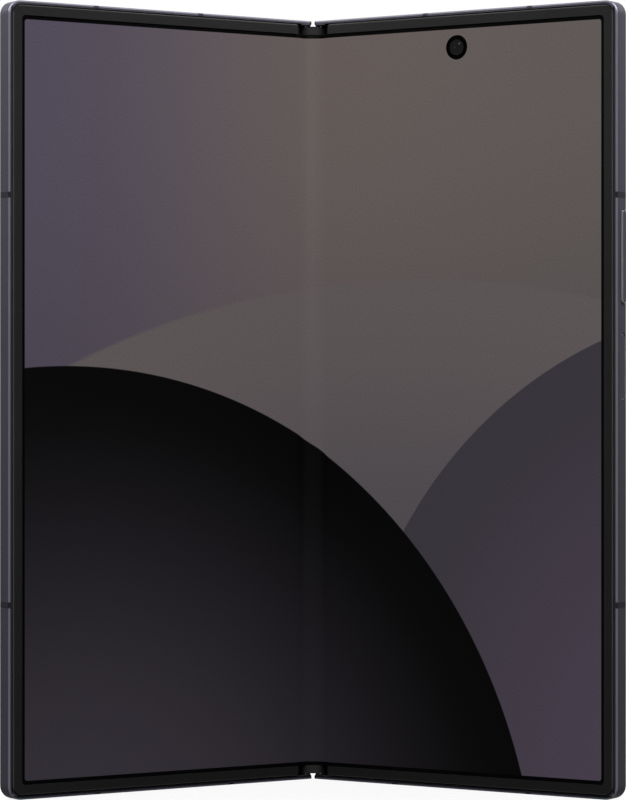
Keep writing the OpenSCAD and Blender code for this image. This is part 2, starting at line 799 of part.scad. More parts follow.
// Free space in the hinge side: pocket, wing slot, arm windows and cable window
module hinge_pocket(arm_z) {
  block(-over, pocket_u, seat_t - over, pocket_t, rim_w, body_h - rim_w);
  block(pocket_u - over, wing_slot_u, 0, wing_slot_t, wing_z0 - wing_end_gap, wing_z1 + wing_end_gap);
  block(pocket_u - over, bay_u0 + over, bay_t0, flex_t + flex_th + 0.15, flex_z0 - 0.5,
    flex_z0 + flex_w + 0.5);
  both_ends() {
    block(pocket_u - over, bay_u0 + over, arm_t0 - hinge_fit, notch_t, arm_z - hinge_fit,
      arm_z + arm_len + hinge_fit);
    block(pocket_u - over, bay_u0 + over, bay_t0, roof_t0, link_z0 - 0.2, link_z0 + link_len + 0.2);
  }
}

// Bosses that hold the wing plate's pins
module wing_bosses() {
  both_ends() difference() {
    block(bay_u0, wing_pivot_u + 0.55, bay_t0, wing_pivot_t + 0.5, wing_z0 - wing_end_gap - wing_boss,
      wing_z0 - wing_end_gap);
    rod(wing_pivot_u, wing_pivot_t, wing_z0 - over - wing_boss, wing_z0, wing_pin_r + hinge_fit);
  }
}

// Places of the antenna bands: through the side wall, the upper wall and the lower wall
module band_places() {
  for (s = [-1, 1])
    block(bay_u1, half_w + over, -over, body_t + over, body_h / 2 + s * band_side_off - band_w / 2,
      body_h / 2 + s * band_side_off + band_w / 2);
  for (u = [band_top_in, half_w - band_top_out])
    block(u - band_w / 2, u + band_w / 2, -over, body_t + over, body_h - wall_w, body_h + over);
  for (u = [band_bottom_in, half_w - band_bottom_out])
    block(u - band_w / 2, u + band_w / 2, -over, body_t + over, -over, wall_w);
}

module frame_solid(arm_z) {
  difference() {
    outer_slab();
    end_gap();
    front_recess();
    bay();
    glass_seat();
    hinge_pocket(arm_z);
  }
}

module frame_body(arm_z) {
  difference() {
    frame_solid(arm_z);
    band_places();
  }
  wing_bosses();
}

module antenna_bands() {
  intersection() {
    difference() {
      outer_slab();
      front_recess();
      bay();
      glass_seat();
    }
    band_places();
  }
}

module left_frame() {
  color(metal_colour) left_pose() difference() {
    frame_body(left_arm_z);
    tray_cut();
    mic_hole(mic_u);
    upside_down() sound_holes(earpiece_u);
    bracket_screw_holes();
  }
}

module right_frame() {
  color(metal_colour) right_pose() difference() {
    frame_body(right_arm_z);
    usb_cut();
    sound_holes(speaker_u);
    mic_hole(mic_u);
    upside_down() mic_hole(usb_u);
    key_slot(volume_z, volume_len);
    key_slot(side_z, side_len);
    inner_camera_hole(seat_t - over, bay_t0 + over);
    bracket_screw_holes();
  }
}

module left_antenna_bands() { color("#44434a") left_pose() antenna_bands(); }

module right_antenna_bands() { color("#44434a") right_pose() antenna_bands(); }

// Frame around the display, open towards the hinge
module bezel_ring() {
  edge = rim_w + bezel_gap;
  difference() {
    slab(bezel_end_u, half_w - edge, 0, screen_back_t, edge, body_h - edge, corner_r - edge,
      bezel_chamfer, 0.01);
    plate(-over, half_w - bezel_inset, -over, seat_t, bezel_inset, body_h - bezel_inset,
      bezel_inner_r);
    plate(-over, half_w - display_inset + inner_gap / 2, display_sink, seat_t,
      display_inset - inner_gap / 2, body_h - display_inset + inner_gap / 2, bezel_inner_r);
    both_ends() bezel_end_cut(edge);
  }
}

// Rounds the outer corner of a bezel end
module bezel_end_cut(edge) {
  difference() {
    block(0, bezel_end_u + bezel_end_r, -over, seat_t, 0, edge + bezel_end_r);
    peg(bezel_end_u + bezel_end_r, edge + bezel_end_r, -2 * over, seat_t + over, bezel_end_r);
  }
}

module left_bezel() { color(bezel_colour) left_pose() bezel_ring(); }

module right_bezel() { color(bezel_colour) right_pose() bezel_ring(); }

module display_sheet(t0, t1) {
  plate(fold_half, half_w - display_inset, t0, t1, display_inset, body_h - display_inset,
    bezel_inner_r);
}

module inner_camera_hole(t0, t1) {
  peg(inner_cam_u, body_h - inner_cam_top, t0, t1, inner_cam_r + hinge_fit);
}

module left_display() {
  color(screen_colour) left_pose() display_sheet(display_sink, screen_back_t);
}

module right_display() {
  color(screen_colour) right_pose() difference() {
    display_sheet(display_sink, screen_back_t);
    inner_camera_hole(0, seat_t);
  }
}

module left_display_plate() {
  color(steel_colour) left_pose() display_sheet(screen_back_t, seat_t);
}

module right_display_plate() {
  color(steel_colour) right_pose() difference() {
    display_sheet(screen_back_t, seat_t);
    inner_camera_hole(0, seat_t + over);
    usb_cut();
  }
}

// ---------------------------------------------------------------- arms in the halves

module bracket_screw_holes() {
  both_ends() for (z = bracket_screw_z)
    peg(bracket_screw_u, z, seat_t - over, bay_t0 + over, screw_r);
}

// Swing arm with its curved tongue, and the bracket that carries it
module swing_arm(z0) {
  z1 = z0 + arm_len;
  ring_part(tongue_r0, tongue_r1, tongue_a0, tongue_a1, z0, z1);
  difference() {
    union() {
      block(axis_u, bracket_u1, arm_t0, arm_t1, z0, z1);
      block(bracket_u0, bracket_u1, bay_t0, bracket_t1, housing_z0 + 0.4, wing_z0 - wing_boss - 0.3);
    }
    rod(axis_u, axis_t, z0 - over, z1 + over, (tongue_r0 + tongue_r1) / 2);
    block(0, bracket_u1 + over, 0, roof_t0, link_z0 - 0.3, link_z0 + link_len + 0.3);
    for (z = bracket_screw_z) {
      peg(bracket_screw_u, z, 0, body_t, screw_r + 0.02);
      peg(bracket_screw_u, z, bracket_t1 - screw_head_t, body_t, screw_r * 2.2);
    }
  }
}

module swing_arms(z0) { both_ends() swing_arm(z0); }

module right_swing_arms() { color(steel_colour) right_pose() swing_arms(right_arm_z); }

module left_swing_arms() { color(steel_colour) left_pose() swing_arms(left_arm_z); }

module bracket_screws() {
  both_ends() for (z = bracket_screw_z) {
    peg(bracket_screw_u, z, seat_t + 0.02, bracket_t1, screw_r - 0.02);
    peg(bracket_screw_u, z, bracket_t1 - screw_head_t, bracket_t1, screw_r * 2);
  }
}

module left_bracket_screws() { color(dark_colour) left_pose() bracket_screws(); }

module right_bracket_screws() { color(dark_colour) right_pose() bracket_screws(); }

// ---------------------------------------------------------------- left half

module battery(h) {
  card(parts_u0, parts_u1, pack_t0, pack_t0 + battery_t, battery_z0, battery_z0 + h, 1);
}

module left_battery() { color(cell_colour) left_pose() battery(left_battery_h); }

module magnet_bars() {
  for (z = magnet_z)
    block(bay_u1 - 0.4 - magnet_w, bay_u1 - 0.4, pack_t0, pack_t0 + battery_t, z, z + magnet_len);
}

module left_magnets() { color(steel_colour) left_pose() magnet_bars(); }

module right_magnets() { color(steel_colour) right_pose() magnet_bars(); }

module left_board() {
  color(board_colour) left_pose() {
    block(flex_board_u, parts_u1, board_t0, board_t0 + board_t, flex_z0 - board_edge,
      flex_z0 + flex_w + board_edge);
    block(parts_u0, parts_u1, board_t0, board_t0 + board_t, flex_z0,
      cover_cam_z - cover_cam_side / 2 - pack_gap);
  }
}

module cover_display_glass() {
  color(dark_colour) left_pose() glass_sheet();
}

module glass_sheet() {
  card(glass_u0 + glass_gap, half_w - glass_inset - glass_gap, glass_t0, body_t,
    glass_inset + glass_gap, body_h - glass_inset - glass_gap, corner_r - glass_inset - glass_gap);
}

module cover_display_panel() {
  color("#202024") left_pose() difference() {
    card(bay_u0 + panel_margin, bay_u1 - panel_margin, glass_t0 - panel_t, glass_t0,
      wall_w + panel_margin, body_h - wall_w - panel_margin, 1);
    peg(cover_cam_u, cover_cam_z, 0, body_t, cover_cam_r + 0.15);
  }
}

module cover_camera() {
  color(dark_colour) left_pose() {
    half = cover_cam_side / 2;
    block(cover_cam_u - half, cover_cam_u + half, pack_t0, glass_t0 - panel_t - inner_gap,
      cover_cam_z - half, cover_cam_z + half);
    peg(cover_cam_u, cover_cam_z, pack_t0, glass_t0 - 0.04, cover_cam_r);
  }
}

// Row of sound holes through the lower wall
module sound_holes(u) {
  for (i = [-2.5:2.5]) rod(u + i * sound_hole_pitch, body_t / 2, -over, wall_w + over, sound_hole_r);
}

module mic_hole(u) { rod(u, body_t / 2, -over, wall_w + over, mic_hole_r); }

module speaker_box(u, l) {
  z0 = wall_w + 3 * inner_gap;
  card(u - l / 2, u + l / 2, pack_t0, pack_t0 + speaker_t, z0, z0 + speaker_h, 0.8);
}

module earpiece_speaker() { color(dark_colour) left_pose() upside_down() speaker_box(earpiece_u, speaker_len + 2); }

// Opening for the card tray: a recess for its flange and a slot behind it
module tray_cut() {
  w = tray_w / 2 + tray_gap;
  h = tray_t / 2 + tray_gap;
  block(tray_u - w - 0.8, tray_u + w + 0.8, tray_mid_t - h - 0.25, tray_mid_t + h + 0.25, -over, 0.8);
  block(tray_u - w, tray_u + w, tray_mid_t - h, tray_mid_t + h, 0, wall_w + over);
}

module card_socket() {
  w = tray_w / 2 + tray_gap;
  h = tray_t / 2 + tray_gap;
  z0 = wall_w + inner_gap;
  color(steel_colour) left_pose() difference() {
    block(tray_u - w - 0.6, tray_u + w + 0.6, tray_mid_t - h - 0.2, tray_mid_t + h + 0.35, z0,
      tray_len + 1.2);
    block(tray_u - w, tray_u + w, tray_mid_t - h, tray_mid_t + h, z0 - over, tray_len + 0.4);
  }
}

module card_tray() {
  w = tray_w / 2;
  h = tray_t / 2;
  color(metal_colour) left_pose() {
    block(tray_u - w - 0.8, tray_u + w + 0.8, tray_mid_t - h - 0.25, tray_mid_t + h + 0.25, 0, 0.74);
    difference() {
      block(tray_u - w, tray_u + w, tray_mid_t - h, tray_mid_t + h, 0.7, tray_len);
      block(tray_u - w + 1.2, tray_u + w - 1.2, tray_mid_t - h + 0.2, body_t, 2.6, tray_len - 1);
    }
  }
}

// ---------------------------------------------------------------- right half

module lens_bores(r) { for (z = lens_z) peg(island_u, z, glass_t0 - over, body_t + island_t + over, r); }

module back_glass() {
  color(dark_colour) right_pose() difference() {
    glass_sheet();
    lens_bores(lens_r + 0.1);
    peg(flash_u, lens_z[0], 0, body_t + over, flash_r + glass_gap);
  }
}

module camera_island() {
  color(metal_colour) right_pose() difference() {
    card(island_u - island_w / 2, island_u + island_w / 2, body_t, body_t + island_t, island_z0,
      island_z1, island_w / 2 - 0.01);
    lens_bores(lens_r + 0.1);
  }
}

module camera_rings() {
  color(steel_colour) right_pose() for (z = lens_z) difference() {
    peg(island_u, z, body_t + island_t, body_t + island_t + ring_t, lens_r + ring_w,
      lens_r + ring_w - 0.2);
    peg(island_u, z, body_t, body_t + island_t + ring_t + over, lens_r + 0.1);
  }
}

module camera_lenses() {
  top = body_t + island_t + ring_t;
  color("#0b0b10") right_pose() for (z = lens_z) peg(island_u, z, top - 0.45, top - 0.1, lens_r + 0.05);
}

module camera_modules() {
  half = lens_r + 1.2;
  color(dark_colour) right_pose() for (z = lens_z) {
    block(island_u - half, island_u + half, pack_t0, glass_t0 - inner_gap, z - half, z + half);
    peg(island_u, z, pack_t0, body_t + island_t + ring_t - 0.5, lens_r - 0.1);
  }
}

module flash_lens() {
  color("#e8e2c8") right_pose() {
    peg(flash_u, lens_z[0], glass_t0 - 0.3, body_t, flash_r);
    peg(flash_u, lens_z[0], glass_t0 - 0.3, glass_t0 - 0.05, flash_r + 0.5);
  }
}

module inner_camera() {
  z = body_h - inner_cam_top;
  color("#0b0b10") right_pose() difference() {
    union() {
      peg(inner_cam_u, z, display_sink + 0.05, pack_t0 + 1.6, inner_cam_r);
      block(inner_cam_u - 3.2, inner_cam_u + 3.2, pack_t0, pack_t0 + 1.9, z - 3.2, z + 3.2);
    }
    peg(inner_cam_u, z, 0, display_sink + 0.2, inner_lens_r + 0.1, inner_lens_r - 0.1);
  }
}

module right_battery() { color(cell_colour) right_pose() battery(right_battery_h); }

module main_board() {
  color(board_colour) right_pose() difference() {
    union() {
      block(parts_u0, board_u1, board_t0, board_t0 + board_t, board_z0, board_z1);
      block(flex_board_u, board_u1, board_t0, board_t0 + board_t, flex_z0 - board_edge,
        flex_z0 + flex_w + board_edge);
    }
    for (u = [parts_u0 + pack_gap, board_u1 - pack_gap]) peg(u, board_z0 + pack_gap, 0, body_t, 2 * screw_r);
  }
}

// Sheet metal cans over the chips
module board_shields() {
  t = board_t0 + board_t;
  mid = (parts_u0 + board_u1) / 2;
  z0 = board_z0 + 3 * pack_gap;
  color(steel_colour) right_pose() {
    card(parts_u0 + board_edge, mid - board_edge, t, t + shield_t, z0, board_z1 - 2 * pack_gap, 0.6);
    card(mid + board_edge, board_u1 - 5 * pack_gap, t, t + shield_t, z0, board_z1 - 12 * pack_gap, 0.6);
  }
}

module lower_board() {
  color(board_colour) right_pose()
    block(parts_u0, parts_u1, board_t0, board_t0 + board_t, usb_z0 + usb_len + inner_gap,
      battery_z0 - board_edge);
}

module charging_coil() {
  t0 = pack_t0 + battery_t + 0.03;
  u = (parts_u0 + parts_u1) / 2;
  z = battery_z0 + right_battery_h / 2;
  color("#a5632f") right_pose() difference() {
    peg(u, z, t0, t0 + coil_t, coil_r);
    peg(u, z, 0, body_t, coil_hole_r);
  }
}

// Opening in the lower wall and room for the socket behind it
module usb_cut() {
  w = usb_open.x + 2 * usb_wall + 0.04;
  h = usb_open.y + 2 * usb_wall + 0.04;
  stadium(usb_u, usb_t, usb_open.x, usb_open.y, -over, usb_z0 + over);
  stadium(usb_u, usb_t, w, h, usb_z0, usb_z0 + usb_len + 0.1);
}

module usb_socket() {
  z1 = usb_z0 + usb_len;
  color(steel_colour) right_pose() {
    difference() {
      stadium(usb_u, usb_t, usb_open.x + 2 * usb_wall, usb_open.y + 2 * usb_wall, usb_z0, z1);
      stadium(usb_u, usb_t, usb_open.x, usb_open.y, usb_z0 - over, z1 - 0.4);
    }
    block(usb_u - 3.35, usb_u + 3.35, usb_t - 0.35, usb_t + 0.35, usb_z0 + 1, z1 - 0.2);
  }
}

module bottom_speaker() { color(dark_colour) right_pose() speaker_box(speaker_u, speaker_len); }

module vibration_motor() { color(steel_colour) right_pose() speaker_box(motor_u, motor_len); }

// Slot for a key, with room for its flange behind the wall
module key_slot(z, len) {
  key_bar(bay_u1 - over, half_w + over, z, len + 2 * key_gap, key_w + 2 * key_gap * 0.5);
}

module edge_key(z, len, face_u) {
  key_bar(bay_u1 - 0.3, face_u, z, len, key_w);
  block(bay_u1 - 0.32, bay_u1 - 0.04, key_t - key_w / 2, glass_t0 - inner_gap, z - len / 2 - 0.8,
    z + len / 2 + 0.8);
}

module volume_key() {
  color(metal_colour) right_pose() edge_key(volume_z, volume_len, half_w + volume_out);
}

module side_key() {
  color("#3b3a40") right_pose() edge_key(side_z, side_len, half_w - side_sink);
}

// Switches that the keys press
module key_switches() {
  u1 = bay_u1 - 0.32 - key_travel - 0.03;
  color(steel_colour) right_pose() for (z = [volume_z - volume_len / 3, volume_z + volume_len / 3, side_z])
    card_side(u1 - 1, u1, z);
}

module card_side(u0, u1, z) {
  block(u0, u1 - 0.2, key_t - 0.9, key_t + 0.7, z - 1.8, z + 1.8);
  translate([u0, key_t, z]) rotate([0, 90, 0]) cylinder(h = u1 - u0, r = 0.6);
}

spine_cover();
spine_core();
rail_housing_bottom();
rail_housing_top();
hinge_cap_bottom();
hinge_cap_top();
spine_screws();
detent_springs();
display_fold_zone();
hinge_flex();
left_sync_shafts();
left_idlers();
right_idlers();
right_sync_shafts();
left_wing_plate();
right_wing_plate();
left_frame();
left_antenna_bands();
left_bezel();
left_display();
left_display_plate();
left_swing_arms();
left_bracket_screws();
left_battery();
left_board();
left_magnets();
cover_display_glass();
cover_display_panel();
cover_camera();
earpiece_speaker();
card_socket();
card_tray();
right_frame();
right_antenna_bands();
right_bezel();
right_display();
right_display_plate();
right_swing_arms();
right_bracket_screws();
right_battery();
right_magnets();
back_glass();
camera_island();
camera_rings();
camera_lenses();
flash_lens();
camera_modules();
inner_camera();
main_board();
board_shields();
lower_board();
charging_coil();
usb_socket();
bottom_speaker();
vibration_motor();
volume_key();
side_key();
key_switches();
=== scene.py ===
"""Looks of a half-open folding phone that stands on its long edge.

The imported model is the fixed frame. Each CAD node gets its own finish here, the pieces
that need finer shapes are modelled with hand tools, and a plain studio lights them.
"""

import logging
import math
from collections.abc import Callable, Iterable
from dataclasses import dataclass
from enum import Enum

import bmesh
import bpy
from mathutils import Matrix, Vector


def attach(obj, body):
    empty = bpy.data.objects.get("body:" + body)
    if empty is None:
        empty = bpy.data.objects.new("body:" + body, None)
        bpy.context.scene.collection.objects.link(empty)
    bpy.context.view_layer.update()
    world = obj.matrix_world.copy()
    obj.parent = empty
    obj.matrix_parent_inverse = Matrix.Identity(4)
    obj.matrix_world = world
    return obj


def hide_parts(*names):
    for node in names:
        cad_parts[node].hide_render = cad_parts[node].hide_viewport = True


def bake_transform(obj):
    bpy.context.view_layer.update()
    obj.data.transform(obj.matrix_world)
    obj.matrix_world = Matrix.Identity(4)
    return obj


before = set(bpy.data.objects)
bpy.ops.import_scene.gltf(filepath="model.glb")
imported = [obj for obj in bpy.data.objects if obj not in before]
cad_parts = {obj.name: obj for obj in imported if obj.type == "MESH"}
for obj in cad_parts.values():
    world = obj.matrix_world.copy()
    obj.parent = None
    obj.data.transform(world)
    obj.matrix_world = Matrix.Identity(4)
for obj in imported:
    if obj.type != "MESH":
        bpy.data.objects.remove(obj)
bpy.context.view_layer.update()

LOG = logging.getLogger("phone")
MM = 0.001
SAME = 0.01 * MM  # places that are closer than this count as one
AIMED = 0.9  # a direction whose share along an axis is above this runs along it
SMOOTH_BELOW = math.radians(32.0)
WHITE = (1.0, 1.0, 1.0, 1.0)


def tint(code: str) -> tuple[float, float, float, float]:
    """Turns a hex colour into linear values.

    Args:
        code: Six hex digits, as seen on a screen.

    Returns:
        Linear red, green and blue, and an alpha of 1.
    """
    parts = [int(code[i : i + 2], 16) / 255 for i in (0, 2, 4)]
    linear = [p / 12.92 if p <= 0.04045 else ((p + 0.055) / 1.055) ** 2.4 for p in parts]
    return (linear[0], linear[1], linear[2], 1.0)


# ---------------------------------------------------------------- where things are


class Side(Enum):
    """One half of the phone, as seen from the inner display."""

    LEFT = -1
    RIGHT = 1

    @property
    def word(self) -> str:
        """The side's name in small letters."""
        return self.name.lower()

    @property
    def body(self) -> str:
        """Name of the CAD body that carries this half."""
        return f"{self.word}_half"


def turn(u: float, t: float, pivot: tuple[float, float], angle: float) -> tuple[float, float]:
    """Turns a distance and a depth about a pivot, with the outer edge going forward.

    Args:
        u: Distance from the centre plane.
        t: Depth from the front.
        pivot: The pivot's distance and depth.
        angle: How far to turn, in radians.

    Returns:
        The turned distance and depth.
    """
    across, deep = u - pivot[0], t - pivot[1]
    return (
        pivot[0] + across * math.cos(angle) + deep * math.sin(angle),
        pivot[1] - across * math.sin(angle) + deep * math.cos(angle),
    )


@dataclass(frozen=True)
class Hinge:
    """Where each half turns on the spine, in metres, and how far it is turned at rest."""

    axis_u: float = 1.125 * MM
    axis_t: float = 0.875 * MM
    centre_y: float = 16.694057 * MM
    fold: float = math.radians(32.6)

    def turned(self, u: float, t: float, angle: float) -> tuple[float, float]:
        """Turns a point of a half about the half's axis.

        Args:
            u: Distance from the centre plane.
            t: Depth from the front.
            angle: How far to turn, in radians.

        Returns:
            The turned distance and depth, seen from the spine.
        """
        return turn(u, t, (self.axis_u, self.axis_t), angle)

    def place(self, side: Side) -> Matrix:
        """Gives the matrix that takes a half's flat space to the row's frame.

        Args:
            side: The half.

        Returns:
            The matrix.
        """
        pivot = Matrix.Translation((side.value * self.axis_u, self.axis_t, 0))
        turned = Matrix.Rotation(-side.value * self.fold, 4, "Z")
        return Matrix.Translation((0, self.centre_y, 0)) @ pivot @ turned @ pivot.inverted()

    def point(self, side: Side, u: float, t: float, z: float, share: float = 1.0) -> Vector:
        """Gives the place of a half's point in the row's frame.

        Args:
            side: The half.
            u: Distance from the centre plane.
            t: Depth from the front.
            z: Height.
            share: Share of the fold that the point has turned.

        Returns:
            The point.
        """
        across, deep = self.turned(u, t, self.fold * share)
        return Vector((side.value * across, deep + self.centre_y, z))


HINGE = Hinge()
BODY_H = 158.4 * MM
HALF_W = 71.6 * MM
BODY_T = 4.2 * MM


# ---------------------------------------------------------------- hand tools

Test = Callable[[Vector, Vector], bool]


class Pick(Enum):
    """What an edit step works on."""

    EDGE = "EDGE"
    FACE = "FACE"


def everything(_place: Vector, _way: Vector) -> bool:
    """Accepts each part of a mesh."""
    return True


def facing(axis: int, sign: int) -> Test:
    """Makes a test for faces that look along an axis.

    Args:
        axis: 0, 1 or 2 for X, Y or Z.
        sign: 1 or -1, the way they look.

    Returns:
        The test.
    """
    return lambda _place, way: way[axis] * sign > AIMED


def middle(centre: tuple[float, float], sign: int) -> Test:
    """Makes a test for the round face in the middle of a drum.

    Args:
        centre: Distance of the drum's axis from the centre plane, and its height.
        sign: -1 for the face that looks forward, 1 for the one that looks back.

    Returns:
        The test.
    """
    near = 0.05 * MM

    def test(place: Vector, way: Vector) -> bool:
        """Says whether one face is the middle one."""
        u, z = centre
        return way.y * sign > AIMED and abs(place.x - u) < near and abs(place.z - z) < near

    return test


def take(item: bpy.types.Object) -> None:
    """Selects one object alone and makes it the active one.

    Args:
        item: The object.
    """
    bpy.ops.object.select_all(action="DESELECT")
    item.select_set(True)
    bpy.context.view_layer.objects.active = item


class Bench:
    """One new piece on the bench, shaped in a half's flat space.

    There X is the distance from the centre plane, positive outwards on the right half,
    Y is the depth from the front, and Z is the height.
    """

    def __init__(self, name: str) -> None:
        """Starts an empty bench for a piece of that name."""
        self.name = name
        self.piece: bpy.types.Object | None = None

    def _hold(self) -> "Bench":
        """Takes the newly added primitive as the piece, with its place in its mesh.

        Returns:
            The bench.
        """
        self.piece = bpy.context.active_object
        self.piece.name = self.name
        self.piece.data.name = self.name
        bpy.ops.object.transform_apply(location=True, rotation=True, scale=True)
        return self

    def block(self, low: Iterable[float], high: Iterable[float]) -> "Bench":
        """Adds a block between two corners.

        Args:
            low: One corner.
            high: The opposite corner.

        Returns:
            The bench.
        """
        a, b = Vector(tuple(low)), Vector(tuple(high))
        bpy.ops.object.select_all(action="DESELECT")
        size = [abs(length) for length in b - a]
        bpy.ops.mesh.primitive_cube_add(size=1, location=(a + b) / 2, scale=size)
        return self._hold()

    def drum(
        self, centre: Iterable[float], radius: float, near: float, far: float, sides: int = 72
    ) -> "Bench":
        """Adds a drum whose axis runs from the front to the back.

        Args:
            centre: Distance from the centre plane, and height.
            radius: Radius of the drum.
            near: Depth of its front face.
            far: Depth of its back face.
            sides: Number of sides.

        Returns:
            The bench.
        """
        x, z = centre
        bpy.ops.object.select_all(action="DESELECT")
        bpy.ops.mesh.primitive_cylinder_add(
            vertices=sides,
            radius=radius,
            depth=abs(far - near),
            location=(x, (near + far) / 2, z),
            rotation=(math.pi / 2, 0, 0),
        )
        return self._hold()

    def post(
        self, centre: Iterable[float], radius: float, low: float, high: float, sides: int = 24
    ) -> "Bench":
        """Adds an upright round post.

        Args:
            centre: Distance from the centre plane, and depth.
            radius: Radius of the post.
            low: Height of its foot.
            high: Height of its top.
            sides: Number of sides.

        Returns:
            The bench.
        """
        x, y = centre
        bpy.ops.object.select_all(action="DESELECT")
        bpy.ops.mesh.primitive_cylinder_add(
            vertices=sides, radius=radius, depth=high - low, location=(x, y, (low + high) / 2)
        )
        return self._hold()

    def pick(self, kind: Pick, test: Test) -> int:
        """Enters edit mode and selects what a test accepts.

        Args:
            kind: Edges or faces.
            test: Takes the middle and the normal, or an edge's direction.

        Returns:
            How many are selected.
        """
        take(self.piece)
        bpy.ops.object.mode_set(mode="EDIT")
        bpy.ops.mesh.select_mode(type=kind.value)
        bpy.ops.mesh.select_all(action="DESELECT")
        mesh = bmesh.from_edit_mesh(self.piece.data)
        count = 0
        if kind is Pick.FACE:
            rows = [(face, face.calc_center_median(), face.normal) for face in mesh.faces]
        else:
            ends = [(edge, edge.verts[0].co, edge.verts[1].co) for edge in mesh.edges]
            rows = [(edge, (a + b) / 2, (b - a).normalized()) for edge, a, b in ends]
        for part, place, way in rows:
            if test(place, way):
                part.select_set(True)
                count += 1
        mesh.select_flush_mode()
        bmesh.update_edit_mesh(self.piece.data)
        return count

    def _leave(self) -> "Bench":
        """Goes back to object mode."""
        bpy.ops.object.mode_set(mode="OBJECT")
        return self

    def inset(self, test: Test, width: float, depth: float = 0.0) -> "Bench":
        """Insets the chosen faces and moves them along their normals.

        Args:
            test: Chooses the faces.
            width: How far inwards.
            depth: How far along the normals.

        Returns:
            The bench.
        """
        if self.pick(Pick.FACE, test):
            bpy.ops.mesh.inset(thickness=width, depth=depth, use_boundary=True)
        return self._leave()

    def steps(self, test: Test, rows: Iterable[tuple[float, float]]) -> "Bench":
        """Insets the chosen faces again and again, from the edge inwards.

        Args:
            test: Chooses the faces.
            rows: Width and depth of each inset, in millimetres.

        Returns:
            The bench.
        """
        for width, depth in rows:
            self.inset(test, width * MM, depth * MM)
        return self

    def extrude(self, test: Test, deep: float) -> "Bench":
        """Extrudes the chosen faces towards the back.

        Args:
            test: Chooses the faces.
            deep: How far.

        Returns:
            The bench.
        """
        if self.pick(Pick.FACE, test):
            bpy.ops.mesh.extrude_region_move(TRANSFORM_OT_translate={"value": (0, deep, 0)})
        return self._leave()

    def bevel(self, test: Test, width: float, segments: int = 2) -> "Bench":
        """Bevels the chosen edges.

        Args:
            test: Chooses the edges.
            width: Width of the bevel.
            segments: Number of strips.

        Returns:
            The bench.
        """
        if self.pick(Pick.EDGE, test):
            bpy.ops.mesh.bevel(offset=width, segments=segments, profile=0.5, affect="EDGES")
        return self._leave()

    def score(self, level: float, axis: int = 0) -> "Bench":
        """Scores a line round the whole piece at a level of one axis.

        Args:
            level: Where the line runs.
            axis: 0, 1 or 2 for X, Y or Z.

        Returns:
            The bench.
        """
        way = [float(axis == number) for number in range(3)]
        self.pick(Pick.FACE, everything)
        bpy.ops.mesh.bisect(plane_co=[level * part for part in way], plane_no=way, use_fill=False)
        return self._leave()

    def cut(self, tool: "Bench") -> "Bench":
        """Cuts another piece's shape out of this one, and bins that piece.

        Args:
            tool: The bench with the other piece.

        Returns:
            The bench.
        """
        step = self.piece.modifiers.new("Cut", "BOOLEAN")
        step.operation = "DIFFERENCE"
        step.object = tool.piece
        step.solver = "EXACT"
        take(self.piece)
        bpy.ops.object.modifier_apply(modifier=step.name)
        bpy.data.objects.remove(tool.piece)
        return self

    def repeat(self, steps: Iterable[Iterable[float]]) -> "Bench":
        """Joins moved copies of the piece to it, each with its own mesh.

        Args:
            steps: How far each copy is moved.

        Returns:
            The bench.
        """
        source = self.piece
        copies = []
        for step in steps:
            take(source)
            bpy.ops.object.duplicate(linked=False)
            bpy.ops.transform.translate(value=tuple(step))
            bpy.ops.object.transform_apply(location=True, rotation=True, scale=True)
            copies.append(bpy.context.active_object)
        take(source)
        for item in copies:
            item.select_set(True)
        bpy.ops.object.join()
        self.piece = bpy.context.active_object
        self.piece.name = self.name
        return self

    def shape(self, rule: Callable[[Vector], Vector]) -> "Bench":
        """Moves each point of the mesh to where a rule puts it.

        Args:
            rule: Gives a point's new place.

        Returns:
            The bench.
        """
        for vert in self.piece.data.vertices:
            vert.co = rule(vert.co.copy())
        self.piece.data.update()
        return self

    def finish(self, matrix: Matrix | None = None) -> bpy.types.Object:
        """Cleans the mesh, shades it and puts it in place.

        Args:
            matrix: From the flat space to the row's frame, or None where it's there.

        Returns:
            The finished piece.
        """
        if matrix is not None:
            self.piece.data.transform(matrix)
        self.pick(Pick.FACE, everything)
        bpy.ops.mesh.remove_doubles(threshold=1e-7)
        bpy.ops.mesh.normals_make_consistent(inside=False)
        self._leave()
        bpy.ops.object.shade_smooth_by_angle(angle=SMOOTH_BELOW)
        return self.piece


# ---------------------------------------------------------------- shader wiring

FLOAT = "NodeSocketFloat"
VECTOR = "NodeSocketVector"
Socket = bpy.types.NodeSocket
Value = Socket | float | int | tuple | str


class Effect(Enum):
    """The shared groups, by the names of their node trees."""

    FLAT = "flat_space"
    GRAIN = "fine_grain"
    TOUCH = "touch_marks"
    WEAR = "edge_wear"
    RIM = "rolled_rim"


